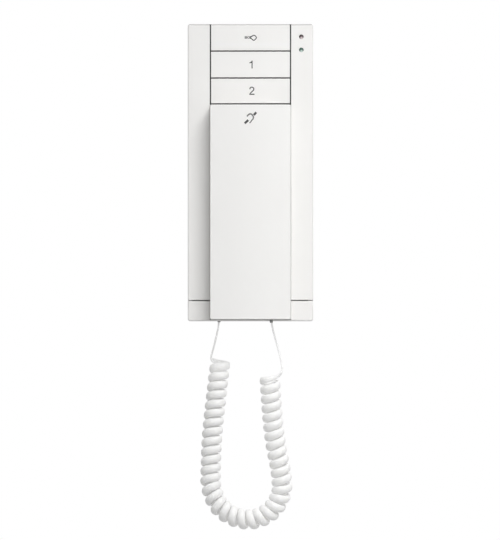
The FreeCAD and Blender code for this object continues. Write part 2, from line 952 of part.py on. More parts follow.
def handset_front_shell():
    """Front half of the handset, with its screw bosses."""
    parts = [handset_slice(handset_parting_out, handset_front + handset_crown + past)]
    cuts = [handset_exit]
    boss_front = handset_inner_front + rooted
    screw_end = handset_seat + handset_screw_length + rest_gap
    for x, z in handset_screw_places():
        parts.append(rod(handset_boss_radius, x, z, handset_boss_out, boss_front))
        cuts.append(rod(handset_screw_radius + lip_fit / 2, x, z, handset_boss_out - past, screw_end))
    board_front_out = handset_board_out + board_thickness
    screw_end = handset_board_out + handset_board_screw_length + rest_gap
    for x, z in handset_board_screw_places():
        parts.append(rod(handset_boss_radius, x, z, board_front_out, boss_front))
        cuts.append(rod(board_screw_radius + lip_fit / 2, x, z, board_front_out - past, screw_end))
    return carved(joined(parts), cuts)


def handset_lip():
    """Inner lip of the back shell that the front shell slips over."""
    half = handset_inner_half - lip_fit
    low = handset_inner_bottom + lip_fit
    high = handset_inner_top - lip_fit
    back = handset_parting_out - lip_thickness
    front = handset_parting_out + lip_thickness
    lip = block(-half, half, back, front, low, high)
    root = block(
        -half - rooted, half + rooted, back, handset_parting_out, low - rooted, high + rooted
    )
    inside = block(
        lip_thickness - half, half - lip_thickness, back - past, front + past,
        low + lip_thickness, high - lip_thickness,
    )
    return joined([lip, root]).cut(inside)


def handset_back_shell():
    """Back half of the handset, with the ear dish, the sound holes and the capsule holders."""
    root_out = handset_inner_back - rooted
    receiver_ring_out = handset_inner_back + receiver_ring_depth
    boot_ring_out = handset_inner_back + boot_ring_depth
    parts = [
        handset_slice(handset_back_out, handset_parting_out),
        handset_lip(),
        holder(receiver_radius, holder_wall, 0, receiver_z, root_out, receiver_ring_out),
        holder(boot_radius, holder_wall, 0, microphone_z, root_out, boot_ring_out),
    ]
    boss_radius = handset_boss_radius + holder_wall
    for x, z in handset_screw_places():
        parts.append(rod(boss_radius, x, z, handset_back_out, handset_boss_out - lip_fit))
    for x, z in magnet_places():
        keeper_out = handset_inner_back + keeper_thickness
        parts.append(holder(magnet_radius, holder_wall, x, z, root_out, keeper_out))
    socket_room = block(
        handset_plug_x - socket_width / 2 - lip_fit, handset_plug_x + socket_width / 2 + lip_fit,
        handset_plug_out - socket_thickness / 2 - lip_fit, handset_board_out,
        handset_inner_bottom, handset_socket_low + socket_length,
    )
    dish_ball = (dish_radius ** 2 + dish_depth ** 2) / (2 * dish_depth)
    ear_dish = Part.makeSphere(dish_ball, spot(0, handset_back_out + dish_depth - dish_ball, receiver_z))
    cuts = [handset_exit, socket_room, ear_dish]
    back = handset_back_out - past
    for x, z in handset_screw_places():
        cuts.append(rod(handset_screw_radius + slide_gap, x, z, back, handset_boss_out))
        cuts.append(rod(handset_screw_head_radius + slide_gap, x, z, back, handset_seat))
    for x, z in sound_hole_places():
        cuts.append(rod(sound_hole_radius, x, z, back, handset_inner_back + past))
    for i in (-1, 0, 1):
        x = i * microphone_hole_pitch
        cuts.append(rod(microphone_hole_radius, x, microphone_z, back, handset_inner_back + past))
    return carved(joined(parts), cuts)


def handset_screws():
    """Three screws that hold the handset's two shells together."""
    screws = []
    for x, z in handset_screw_places():
        screws.append(
            slotted_screw(
                handset_screw_radius, handset_screw_length, handset_screw_head_radius,
                handset_screw_head_height, x, z, handset_seat, 1,
            )
        )
    return Part.makeCompound(screws)


def keeper_plates():
    """Four steel discs in the handset, over the cradle's magnets."""
    back = handset_inner_back
    front = back + keeper_thickness
    return Part.makeCompound([rod(magnet_radius, x, z, back, front) for x, z in magnet_places()])


def receiver_gasket():
    """Soft ring between the receiver and the shell."""
    return ring(receiver_radius, gasket_bore_radius, 0, receiver_z, handset_inner_back, receiver_out)


def receiver_capsule():
    """Earpiece with its magnet cup."""
    return joined([
        rod(receiver_radius, 0, receiver_z, receiver_out, receiver_back),
        rod(receiver_cup_radius, 0, receiver_z, receiver_back, receiver_back + receiver_cup_depth),
    ])


def hearing_aid_coil():
    """Flat coil around the receiver for hearing aids."""
    back = handset_inner_back
    front = back + hearing_coil_height
    return ring(hearing_coil_outer_radius, hearing_coil_inner_radius, 0, receiver_z, back, front)


def microphone_boot():
    """Rubber cup around the microphone."""
    boot_front = handset_inner_back + boot_height
    body = rod(boot_radius, 0, microphone_z, handset_inner_back, boot_front)
    room = rod(microphone_radius, 0, microphone_z, microphone_out, boot_front + past)
    mouth = rod(microphone_radius / 2, 0, microphone_z, handset_inner_back - past, microphone_out + past)
    return carved(body, [room, mouth])


def microphone_capsule():
    """Round microphone in its boot."""
    return rod(microphone_radius, 0, microphone_z, microphone_out, microphone_back)


def handset_board():
    """Small board that carries the handset's cord socket."""
    half = handset_board_width / 2
    back = handset_board_out
    front = back + board_thickness
    body = block(-half, half, back, front, handset_board_low, handset_board_high)
    hole_radius = board_screw_radius + slide_gap
    holes = [rod(hole_radius, x, z, back - past, front + past) for x, z in handset_board_screw_places()]
    return carved(body, holes)


def handset_board_screws():
    """Three screws of the handset's board."""
    screws = []
    for x, z in handset_board_screw_places():
        screws.append(board_screw(x, z, handset_board_screw_length, handset_board_out, 1))
    return Part.makeCompound(screws)


# Tubes along straight runs and arcs
def corner_arc(start, corner, end):
    """Arc that touches the two equal legs of a corner, and its radius."""
    arriving = corner - start
    turn = arriving.getAngle(end - corner)
    radius = arriving.Length / math.tan(turn / 2)
    chord_middle = (start + end) / 2
    toward = corner - chord_middle
    middle = chord_middle + toward * (radius * (1 - math.cos(turn / 2)) / toward.Length)
    return Part.Arc(start, middle, end).toShape(), radius


def rounded_path(points):
    """Edges of straight runs joined by arcs as large as the runs allow, and the arcs' radii."""
    edges = []
    radii = []
    last = points[0]
    for before, corner, after in zip(points, points[1:], points[2:]):
        arriving = corner - before
        leaving = after - corner
        reach = 0.45 * min(arriving.Length, leaving.Length)
        start = corner - arriving * (reach / arriving.Length)
        end = corner + leaving * (reach / leaving.Length)
        arc, radius = corner_arc(start, corner, end)
        edges.append(Part.LineSegment(last, start).toShape())
        edges.append(arc)
        radii.append(radius)
        last = end
    edges.append(Part.LineSegment(last, points[-1]).toShape())
    return edges, radii


def biarc(start, start_way, end, end_way):
    """Two tangent arcs from start to end along the given directions, and their radii."""
    across = end - start
    spare = 2 * (1 - start_way.dot(end_way))
    along = across.dot(start_way + end_way)
    leg = (math.sqrt(along ** 2 + spare * across.dot(across)) - along) / spare
    first_corner = start + start_way * leg
    last_corner = end - end_way * leg
    meeting = (first_corner + last_corner) / 2
    first, first_radius = corner_arc(start, first_corner, meeting)
    last, last_radius = corner_arc(meeting, last_corner, end)
    return [first, last], [first_radius, last_radius]


def tube(name, edges, radii, radius):
    """Round tube along edges. It prints its length, its volume's share and its least bend."""
    path = Part.Wire(edges)
    start = edges[0].valueAt(edges[0].FirstParameter)
    way = edges[0].tangentAt(edges[0].FirstParameter)
    section = Part.Wire(Part.Circle(start, way, radius).toShape())
    body = path.makePipeShell([section], True, False)
    share = body.Volume / (math.pi * radius ** 2 * path.Length)
    least = min(radii, default=math.inf)
    print(f"{name}: length {path.Length:.1f}, volume share {share:.4f}, least bend {least:.1f}")
    return body


def wire_pair(name, points):
    """Two parallel insulated wires along points, side by side in x."""
    wires = []
    for side in (-1, 1):
        shift = V(side * lead_wire_pitch / 2, 0, 0)
        edges, radii = rounded_path([p + shift for p in points])
        wires.append(tube(name, edges, radii, lead_wire_radius))
    return Part.makeCompound(wires)


def lead_bends(start, end, drop, shift, bends):
    """Points from start to end. Each bend has its share of the rise, of the drop to the wall and of the shift."""
    points = [start]
    for rise_share, drop_share, shift_share in bends:
        aside = shift * shift_share
        back = drop * drop_share
        points.append(start + spot(aside, -back, (end.z - start.z) * rise_share))
    return points + [end]


def ringer_leads():
    """Wires from the speaker to the board's lower edge."""
    x = speaker_magnet_radius + ringer_lead_gap
    start = spot(x, speaker_back, speaker_z + ringer_lead_rise)
    end = spot(x, board_edge_out, board_bottom)
    drop = speaker_back - board_edge_out
    bends = [(0, 0.79, 0), (0.34, 1.28, 0), (0.74, 1, 0)]
    return wire_pair("ringer lead", lead_bends(start, end, drop, 0, bends))


def socket_leads():
    """Wires from the housing's cord socket up to the board's lower edge."""
    start = spot(base_plug_x, base_plug_out, base_socket_low + socket_length)
    end = spot(base_plug_x, board_edge_out, board_bottom)
    last_drop = (base_plug_out - board_edge_out) / socket_lead_drop
    bends = [(0.086, 0, 0), (0.24, 0.5, 0.62), (0.47, 0.96, 1), (0.71, 1, 0.31), (0.885, last_drop, 0)]
    return wire_pair("socket lead", lead_bends(start, end, socket_lead_drop, socket_lead_shift, bends))


def receiver_leads():
    """Wires from the receiver's cup down the grip to the handset's board."""
    start = spot(0, receiver_back + receiver_cup_depth / 2, receiver_z - receiver_cup_radius)
    end = spot(receiver_lead_shift, handset_board_out + board_thickness / 2, handset_board_high)
    drop = start.y - end.y
    bends = [(0.062, 0, 0), (0.17, -0.47, 0.21), (0.36, -0.87, 0.58), (0.59, -0.81, 0.89), (0.81, -1, 1)]
    return wire_pair("receiver lead", lead_bends(start, end, drop, receiver_lead_shift, bends))


def microphone_leads():
    """Straight wires from the microphone to the handset's board."""
    points = [spot(0, microphone_back, microphone_z), spot(0, handset_board_out, microphone_z)]
    return wire_pair("microphone lead", points)


# Curly cord, by its depth below the housing
base_lead_route = [
    spot(base_plug_x, base_plug_out, base_plug_end),
    spot(base_plug_x, base_plug_out, bottom - 4.2),
    spot(-24.6, 11.6, bottom - 11.2),
    spot(-26.3, 12.2, bottom - 18.3),
]
handset_lead_route = [
    spot(handset_plug_x, handset_plug_out, handset_plug_end),
    spot(handset_plug_x, handset_plug_out, bottom - 3.2),
    spot(16.2, 31.8, bottom - 10.8),
    spot(19.0, coil_out_end, bottom - 20.4),
    spot(20.9, coil_out_end, bottom - 29.2),
]
coil_axis_route = [
    (-21.4, 26.3), (-24.2, 51.7), (-26.6, 73.7), (-27.7, 97.0), (-26.8, 116.5), (-21.1, 127.8),
    (-10.1, 134.9), (1.5, 136.2), (13.6, 130.6), (21.0, 118.5), (20.8, 103.5), (17.3, 85.0),
    (14.9, 64.5), (13.2, 38.7),
]


def runs_along(places):
    """Distance run at each place."""
    runs = [0.0]
    for earlier, later in zip(places, places[1:]):
        runs.append(runs[-1] + (later - earlier).Length)
    return runs


def smooth_line(points):
    """Places on a smooth curve through all the points."""
    steps = [(b - a).Length for a, b in zip(points, points[1:])]
    slopes = [(b - a) / step for a, b, step in zip(points, points[1:], steps)]
    ways = [slopes[0]]
    for i in range(1, len(steps)):
        ways.append((slopes[i] * steps[i - 1] + slopes[i - 1] * steps[i]) / (steps[i - 1] + steps[i]))
    ways.append(slopes[-1])
    places = [points[0]]
    for i, step in enumerate(steps):
        for k in range(1, axis_samples + 1):
            u = k / axis_samples
            places.append(
                points[i] * ((1 + 2 * u) * (1 - u) ** 2)
                + ways[i] * (step * u * (1 - u) ** 2)
                + points[i + 1] * (u ** 2 * (3 - 2 * u))
                + ways[i + 1] * (step * u ** 2 * (u - 1))
            )
    return places


def coil_axis():
    """Middle line of the coil, which leans out from the wall at a steady rate."""
    flat = smooth_line([spot(x, 0, bottom - depth) for x, depth in coil_axis_route])
    runs = runs_along(flat)
    lean = (coil_out_end - coil_out_start) / runs[-1]
    return [place + spot(0, coil_out_start + lean * run, 0) for place, run in zip(flat, runs)]


axis_places = coil_axis()
axis_runs = runs_along(axis_places)
turn_run = axis_runs[-1] / coil_turns


def axis_at(distance):
    """Point of the coil's middle line at a distance along it."""
    i = 0
    while i < len(axis_runs) - 2 and axis_runs[i + 1] < distance:
        i += 1
    share = (distance - axis_runs[i]) / (axis_runs[i + 1] - axis_runs[i])
    return axis_places[i] + (axis_places[i + 1] - axis_places[i]) * share


def curl(turns):
    """Point of the curly cord after so many turns: first the side, then the back, then the front."""
    distance = turn_run * turns
    forward = axis_at(distance + turn_run / 2) - axis_at(distance - turn_run / 2)
    forward.normalize()
    inward = V(0, 1, 0) - forward * forward.y
    inward.normalize()
    sideways = inward.cross(forward)
    angle = 2 * math.pi * turns
    offset = sideways * math.cos(angle) + inward * math.sin(angle)
    return axis_at(distance) + offset * coil_radius


def curl_way(turns):
    """Direction of the curly cord after so many turns."""
    way = curl(turns + 0.001) - curl(turns - 0.001)
    return way.normalize()


def coil_path():
    """Path of the curly cord: a straight end, arcs for each quarter turn and a straight end."""
    start = base_lead_route[-1]
    start_way = (start - base_lead_route[-2]).normalize()
    end = handset_lead_route[-1]
    end_way = (handset_lead_route[-2] - end).normalize()
    stops = [(start + start_way * cord_diameter, start_way)]
    for quarter in range(1, 4 * coil_turns):
        stops.append((curl(quarter / 4), curl_way(quarter / 4)))
    stops.append((end - end_way * cord_diameter, end_way))
    edges = [Part.LineSegment(start, stops[0][0]).toShape()]
    radii = []
    for (place, way), (next_place, next_way) in zip(stops, stops[1:]):
        arcs, arc_radii = biarc(place, way, next_place, next_way)
        edges += arcs
        radii += arc_radii
    edges.append(Part.LineSegment(stops[-1][0], end).toShape())
    return edges, radii


def least_gap(edges, diameter):
    """Least free gap between turns, measured on points along the path."""
    spacing = 0.8
    points = []
    for edge in edges:
        count = max(2, round(edge.Length / spacing))
        step = (edge.LastParameter - edge.FirstParameter) / count
        points += [edge.valueAt(edge.FirstParameter + step * k) for k in range(count)]
    runs = runs_along(points)
    turn_length = 2 * math.pi * coil_radius
    gaps = []
    for i, point in enumerate(points):
        for k in range(i + 1, len(points)):
            apart = runs[k] - runs[i]
            if apart > 2 * turn_length:
                break
            if apart > 3 * diameter:
                gaps.append((points[k] - point).Length - diameter)
    return min(gaps)


def cord_lead(name, route):
    """Straight stretch of the cord between a plug and the coil."""
    edges, radii = rounded_path(route)
    return tube(name, edges, radii, cord_radius)


def cord_coil():
    """The curly cord's coil."""
    edges, radii = coil_path()
    print(f"coil: {coil_turns} turns, least gap between them {least_gap(edges, cord_diameter):.2f}")
    return tube("coil", edges, radii, cord_radius)


def hook_spring():
    """Compression spring under the hook plunger, stored pressed."""
    low = board_front + spring_wire / 2
    rise = (spring_length - spring_wire) / spring_turns

    def stop(turns):
        angle = 2 * math.pi * turns
        across = spring_radius * math.cos(angle)
        along = spring_radius * math.sin(angle)
        place = spot(across, low + rise * turns, hook_z + along)
        way = spot(-along, rise / (2 * math.pi), across)
        return place, way.normalize()

    edges = []
    radii = []
    for quarter in range(4 * spring_turns):
        place, way = stop(quarter / 4)
        next_place, next_way = stop((quarter + 1) / 4)
        arcs, arc_radii = biarc(place, way, next_place, next_way)
        edges += arcs
        radii += arc_radii
    return tube("hook spring", edges, radii, spring_wire / 2)


def main():
    os.makedirs("parts", exist_ok=True)
    save("front_housing", front_housing())
    save("bottom_cover", bottom_cover())
    save("wall_plate", wall_plate())
    save("lock_screw", lock_screw())
    for name, span in zip(key_names, key_spans):
        save("key_" + name, key_cap(*span))
        save("switch_stem_" + name, switch_stem(*span))
    save("key_switches", key_switches())
    for name, z in zip(("red", "green"), lamp_heights):
        save("light_pipe_" + name, light_pipe(z))
    save("status_leds", status_leds())
    save("main_board", main_board())
    save("board_screws", board_screws())
    save("terminal_block", terminal_block())
    save("terminal_screws", terminal_screws())
    save("address_switches", address_switches())
    for name, place in zip(("left", "right"), dial_places):
        save("address_rotor_" + name, address_rotor(*place))
    save("board_capacitors", board_capacitors())
    save("board_chips", board_chips())
    save("ringer_speaker", ringer_speaker())
    save("ringer_magnet", ringer_magnet())
    save("ringer_leads", ringer_leads())
    save("hook_plunger", hook_plunger())
    save("hook_spring", hook_spring())
    save("hook_switch", hook_switch())
    save("cradle_magnets", cradle_magnets())
    save("cradle_bumpers", cradle_bumpers())
    save("base_socket", socket(base_plug_x, base_plug_out, base_socket_low))
    save("base_plug", plug(base_plug_x, base_plug_out, base_plug_end))
    save("socket_leads", socket_leads())
    save("handset_front_shell", handset_front_shell())
    save("handset_back_shell", handset_back_shell())
    save("handset_screws", handset_screws())
    save("keeper_plates", keeper_plates())
    save("receiver_gasket", receiver_gasket())
    save("receiver_capsule", receiver_capsule())
    save("hearing_aid_coil", hearing_aid_coil())
    save("receiver_leads", receiver_leads())
    save("microphone_boot", microphone_boot())
    save("microphone_capsule", microphone_capsule())
    save("microphone_leads", microphone_leads())
    save("handset_board", handset_board())
    save("handset_board_screws", handset_board_screws())
    save("handset_socket", socket(handset_plug_x, handset_plug_out, handset_socket_low))
    save("handset_plug", plug(handset_plug_x, handset_plug_out, handset_plug_end))
    save("cord_lead_base", cord_lead("lead at the housing", base_lead_route))
    save("cord_coil", cord_coil())
    save("cord_lead_handset", cord_lead("lead at the handset", handset_lead_route))


main()
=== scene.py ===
# %% [markdown]
# A white indoor handset station for a door intercom: a flat wall unit with three wide keys, a handset
# in a shallow cradle and a curly cord that hangs in a loop. The hard pieces come from a solid model.
# This script gives them their finishes, makes the cord and the printed symbols, and lights the whole
# as in a product picture. Sizes are written in millimetres and turned into metres where they are used.

# %% Load the solid model
import math

import bpy
import numpy as np
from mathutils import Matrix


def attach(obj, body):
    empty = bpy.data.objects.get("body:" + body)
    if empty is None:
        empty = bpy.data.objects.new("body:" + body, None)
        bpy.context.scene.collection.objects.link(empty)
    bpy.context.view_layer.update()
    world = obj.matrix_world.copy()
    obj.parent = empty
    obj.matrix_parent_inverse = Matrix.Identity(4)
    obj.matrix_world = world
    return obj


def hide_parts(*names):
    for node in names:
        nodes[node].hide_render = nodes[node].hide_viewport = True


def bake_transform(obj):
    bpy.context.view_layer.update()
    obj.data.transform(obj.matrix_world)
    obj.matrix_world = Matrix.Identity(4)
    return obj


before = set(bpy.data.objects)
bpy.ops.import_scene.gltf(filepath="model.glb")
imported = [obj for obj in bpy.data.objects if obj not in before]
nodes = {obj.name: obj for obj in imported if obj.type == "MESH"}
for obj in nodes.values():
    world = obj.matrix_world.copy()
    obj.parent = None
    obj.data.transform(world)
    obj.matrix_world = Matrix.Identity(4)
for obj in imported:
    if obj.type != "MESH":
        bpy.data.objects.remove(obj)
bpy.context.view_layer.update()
scene = bpy.context.scene
MM = 0.001


# %% [markdown]
# Everything is placed by three numbers, as someone with a ruler would: x to the right, out from the
# wall, and z up. Blender's y runs into the wall, so out is minus y. One helper turns such numbers, or
# whole arrays of them, into points in metres. The sizes of the housing and of the handset that later cells
# follow are named here as well: both fronts are gently arched, and the crown is how far they rise.

# %% Places in millimetres
def place(x, out, z):
    """Points in metres: x stays, out from the wall becomes minus y, and z stays."""
    x, out, z = np.broadcast_arrays(np.asarray(x, float), out, z)
    return np.stack([x, -out, z], axis=-1) * MM


HOUSING_HALF_WIDTH = 43.0
HOUSING_HALF_HEIGHT = 102.0
HOUSING_FRONT = 28.0
HOUSING_CROWN = 1.2
HANDSET_HALF_WIDTH = 27.65
HANDSET_FRONT = 45.5
HANDSET_CROWN = 1.0
print("housing front at", place(0, HOUSING_FRONT + HOUSING_CROWN, 0))

# %% [markdown]
# The picture looks straight at the wall through a long lens, so sides that run away from the eye stay
# hidden. A camera ten metres off with a very narrow angle does the same. Blender's lens is given for the
# longer side of the picture, which is its height here: sensor size times distance, divided by the height
# that has to fit.

# %% Camera
PHOTO_HEIGHT_PIXELS = 540
MM_PER_PIXEL = 0.6864
EYE_DISTANCE = 10000.0
EYE_X = -0.3
EYE_Z = -66.83
SENSOR_WIDTH = 36.0

camera_data = bpy.data.cameras.new("camera")
camera_data.sensor_width = SENSOR_WIDTH
camera_data.lens = SENSOR_WIDTH * EYE_DISTANCE / (PHOTO_HEIGHT_PIXELS * MM_PER_PIXEL)
camera_data.clip_start = 0.1
camera_data.clip_end = 20.0
camera = bpy.data.objects.new("camera", camera_data)
camera.location = place(EYE_X, HOUSING_FRONT + EYE_DISTANCE, EYE_Z)
camera.rotation_euler = (math.pi / 2, 0, 0)
scene.collection.objects.link(camera)
scene.camera = camera
print(f"lens {camera_data.lens:.0f} mm")

# %% [markdown]
# A curly cord is a flat cable wound on a rod and heated, so it remembers its turns. Here it is built in
# two steps. First comes the line down the middle of the coil: a smooth curve through a few places along
# the hanging loop, each an x and a depth below the housing's lower end, while the loop slowly comes out
# from the wall. Then the cord's own points run round that line, sixteen to a turn, and a NURBS spline of
# order three rounds them into an even curl.

# %% The line down the middle of the coil
BOTTOM = -HOUSING_HALF_HEIGHT
COIL_TURNS = 37
COIL_OUT_START = 12.5
COIL_OUT_END = 30.5
COIL_AXIS_ROUTE = [
    (-20.6, 26.8), (-23.5, 51.7), (-25.9, 73.7), (-27.1, 97.0), (-26.3, 116.5), (-20.6, 127.8),
    (-9.7, 134.7), (1.8, 135.9), (13.8, 130.3), (21.1, 118.3), (20.8, 103.5), (17.4, 85.0),
    (15.0, 64.5), (13.2, 37.6),
]


def runs_along(points):
    """Distance run at each point: the lengths of the steps before it, added up."""
    steps = np.linalg.norm(np.diff(points, axis=0), axis=1)
    return np.concatenate([[0.0], np.cumsum(steps)])


def smooth_line(points, samples=40):
    """Curve through all the points. Each span is the cubic that meets its two ends with their slopes:
    start (1 + 2u)(1 - u)^2, its slope u(1 - u)^2, end u^2(3 - 2u), its slope u^2(u - 1)."""
    steps = np.linalg.norm(np.diff(points, axis=0), axis=1)[:, None]
    slopes = np.diff(points, axis=0) / steps
    inner = (slopes[1:] * steps[:-1] + slopes[:-1] * steps[1:]) / (steps[:-1] + steps[1:])
    ways = np.concatenate([slopes[:1], inner, slopes[-1:]])
    u = (np.arange(samples) / samples)[None, :, None]
    first, last = points[:-1, None], points[1:, None]
    first_way, last_way = (ways[:-1] * steps)[:, None], (ways[1:] * steps)[:, None]
    spans = (
        first * (1 + 2 * u) * (1 - u) ** 2 + first_way * u * (1 - u) ** 2
        + last * u ** 2 * (3 - 2 * u) + last_way * u ** 2 * (u - 1)
    )
    return np.concatenate([spans.reshape(-1, points.shape[1]), points[-1:]])


axis_flat = smooth_line(np.array(COIL_AXIS_ROUTE))
axis_runs = runs_along(axis_flat)
axis_out = COIL_OUT_START + (COIL_OUT_END - COIL_OUT_START) * axis_runs / axis_runs[-1]
axis_line = place(axis_flat[:, 0], axis_out, BOTTOM - axis_flat[:, 1])
axis_runs = runs_along(axis_line)
print(f"middle line of the coil: {axis_runs[-1]:.4f} m")


# %% [markdown]
# The curl turns round the middle line like a bolt's thread. At every place the coil has a direction
# forward, one towards the wall and one to the side, and the cord sits at a fixed distance from the middle
# at an angle that grows with the turns. The direction from the coil's middle is kept for every point,
# because the flat cord lies on its coil with its thin side that way.

# %% The curl
COIL_RADIUS = 5.3
POINTS_PER_TURN = 16


def along_axis(distance):
    """Points of the coil's middle line at the given distances along it."""
    return np.stack([np.interp(distance, axis_runs, axis_line[:, side]) for side in range(3)], axis=1)


def unit(vectors):
    """The vectors at length one."""
    return vectors / np.linalg.norm(vectors, axis=-1, keepdims=True)


def curl(turns, radius):
    """The curl after so many turns, and its direction from the middle: the middle line's point plus
    radius times (cosine of the angle sideways and sine of the angle towards the wall)."""
    run = axis_runs[-1] / COIL_TURNS
    middle = along_axis(turns * run)
    forward = unit(along_axis(turns * run + run / 2) - along_axis(turns * run - run / 2))
    inward = unit(np.array([0.0, 1.0, 0.0]) - forward * forward[:, 1:2])
    sideways = np.cross(inward, forward)
    angle = (2 * np.pi * turns)[:, None]
    outward = np.cos(angle) * sideways + np.sin(angle) * inward
    return middle + outward * radius * MM, outward


# A spline of order three passes inside its points, so the points stand a little further out. The first
# two and the last one are left to the leads, which then run into the curl in a soft bend.
FIRST_CURL_POINT = 2
LAST_CURL_POINT = COIL_TURNS * POINTS_PER_TURN - 2
spline_inset = 0.75 + 0.25 * math.cos(2 * math.pi / POINTS_PER_TURN)
curl_turns = np.arange(FIRST_CURL_POINT, LAST_CURL_POINT + 1) / POINTS_PER_TURN
curl_points, curl_outward = curl(curl_turns, COIL_RADIUS / spline_inset)
print(f"{len(curl_points)} points for {COIL_TURNS} turns")

# %% [markdown]
# The two leads to the plugs are nearly straight, so a few points do for each. Their thin side faces
# sideways, because they are seen edge on.

# %% The two leads
BASE_LEAD_ROUTE = [
    (-21.6, 11.0, 0.6), (-21.7, 11.0, -2.4), (-23.0, 11.2, -8.4), (-24.6, 11.6, -15.5),
    (-26.6, 12.2, -22.8), (-27.4, 12.4, -26.4),
]
HANDSET_LEAD_ROUTE = [
    (21.9, 30.4, -35.6), (21.5, 30.5, -28.6), (19.6, 30.5, -21.0), (16.8, 31.8, -10.8),
    (14.6, 33.0, -3.2), (14.3, 33.0, 2.1),
]


def lead_points(route):
    """The points of a lead, given as x, out and height above the housing's lower end."""
    x, out, rise = np.array(route).T
    return place(x, out, BOTTOM + rise)


base_lead = lead_points(BASE_LEAD_ROUTE)
handset_lead = lead_points(HANDSET_LEAD_ROUTE)
cord_points = np.concatenate([base_lead, curl_points, handset_lead])
thin_ways = np.concatenate([
    np.tile([-1.0, 0.0, 0.0], (len(base_lead), 1)),
    curl_outward,
    np.tile([1.0, 0.0, 0.0], (len(handset_lead), 1)),
])
print(f"{len(cord_points)} points with the leads")


# %% [markdown]
# The spline is laid through Blender's own curve, which gives a list of points along the smooth cord.
# Giving that curve a round bevel would be the short way to a cable, but this one is flat, so only its
# points are used.

# %% Smooth line of the cord
CORD_STEPS = 3


def spline_line(points, steps):
    """Points along a NURBS spline of order three with these control points."""
    curve = bpy.data.curves.new("cord_line", "CURVE")
    curve.dimensions = "3D"
    curve.resolution_u = steps
    spline = curve.splines.new("NURBS")
    spline.points.add(len(points) - 1)
    spline.points.foreach_set("co", np.column_stack([points, np.ones(len(points))]).ravel())
    spline.order_u = 3
    spline.use_endpoint_u = True
    holder = bpy.data.objects.new("cord_line", curve)
    mesh = bpy.data.meshes.new_from_object(holder)
    line = np.zeros(len(mesh.vertices) * 3)
    mesh.vertices.foreach_get("co", line)
    bpy.data.meshes.remove(mesh)
    bpy.data.objects.remove(holder)
    bpy.data.curves.remove(curve)
    return line.reshape(-1, 3)


cord_line = spline_line(cord_points, CORD_STEPS)
print(f"cord: {len(cord_line)} rings, {runs_along(cord_line)[-1]:.3f} m long")


# %% [markdown]
# One helper makes every mesh from a grid of points: rings along a path, closed round and capped at its
# ends. Faces are listed so that they point outwards when the rings turn to the left of the way forward.
# The cord's section is a flattened ring, carried along with its thin side to the coil's middle.

# %% Meshes from grids
def mesh_object(name, points, faces, smooth=True):
    """A new object from an array of points in metres and its faces."""
    mesh = bpy.data.meshes.new(name)
    mesh.from_pydata(points.reshape(-1, 3).tolist(), [], faces)
    mesh.polygons.foreach_set("use_smooth", [smooth] * len(mesh.polygons))
    mesh.update()
    made = bpy.data.objects.new(name, mesh)
    scene.collection.objects.link(made)
    return made


def ring_faces(rings, around):
    """Four-sided faces between neighbouring rings, and one face at each end."""
    row = np.arange(rings - 1)[:, None] * around
    col = np.arange(around)[None, :]
    after = (col + 1) % around
    quads = np.stack([row + col, row + after, row + around + after, row + around + col], axis=-1)
    last = (rings - 1) * around
    return quads.reshape(-1, 4).tolist() + [list(range(around))[::-1], list(range(last, last + around))]


def flat_section(width, thickness, around):
    """A flattened ring: half the width times cosine across, half the thickness times sine through."""
    angle = 2 * np.pi * np.arange(around) / around
    return width / 2 * np.cos(angle) * MM, thickness / 2 * np.sin(angle) * MM


def swept(name, line, thin_way, across, thick):
    """A section carried along a line. Each ring is the line's point plus across times the wide way plus
    thick times the thin way, where the wide way is square to the line and to the thin way."""
    forward = unit(np.gradient(line, axis=0))
    wide = unit(np.cross(forward, thin_way))
    thin = np.cross(wide, forward)
    points = line[:, None] + across[..., None] * wide[:, None] + thick[..., None] * thin[:, None]
    return mesh_object(name, points, ring_faces(len(line), points.shape[1]))


# %% [markdown]
# The cord goes from the plug in the housing to the plug in the handset. Where the loop bends, the turns
# crowd on its inner side, so the cord is never wider there than the way to the next turn less a small
# clearance. The leads are thinner than the coil, and the cord grows to its full section within a few
# points of where the curl begins.

# %% The curly cord
BAND_WIDTH = 5.3
BAND_THICKNESS = 3.6
SECTION_POINTS = 18
LEAD_WIDTH_SHARE = 0.55
LEAD_THICKNESS_SHARE = 0.36
LEAD_GROWTH = 6
TURN_CLEARANCE = 0.30
NO_NEXT_TURN = 1.0
control_index = np.linspace(0, len(cord_points) - 2, len(cord_line)) + 0.5
cord_thin = np.stack([
    np.interp(control_index, np.arange(len(cord_points)), thin_ways[:, side]) for side in range(3)
], axis=1)
turn_rings = POINTS_PER_TURN * CORD_STEPS
to_next_turn = np.linalg.norm(cord_line[turn_rings:] - cord_line[:-turn_rings], axis=1)
open_end = np.full(turn_rings, NO_NEXT_TURN)
room_after = np.concatenate([to_next_turn, open_end])
room_before = np.concatenate([open_end, to_next_turn])
room = np.minimum(room_after, room_before) / MM - TURN_CLEARANCE
squeeze = np.minimum(room / BAND_WIDTH, 1.0)
grown_from = len(base_lead) - 1
grown_until = len(cord_points) - len(handset_lead) - 1
growth_stops = [grown_from, grown_from + LEAD_GROWTH, grown_until - LEAD_GROWTH, grown_until]
growth = np.interp(control_index, growth_stops, [0, 1, 1, 0])
width_share = np.minimum(LEAD_WIDTH_SHARE + (1 - LEAD_WIDTH_SHARE) * growth, squeeze)[:, None]
thickness_share = (LEAD_THICKNESS_SHARE + (1 - LEAD_THICKNESS_SHARE) * growth)[:, None]
section_across, section_thick = flat_section(BAND_WIDTH, BAND_THICKNESS, SECTION_POINTS)
curly_cord = swept(
    "curly_cord", cord_line, unit(cord_thin), section_across * width_share, section_thick * thickness_share
)
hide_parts("cord_lead_base", "cord_coil", "cord_lead_handset")
print(f"{len(curly_cord.data.vertices)} points, {len(curly_cord.data.polygons)} faces")

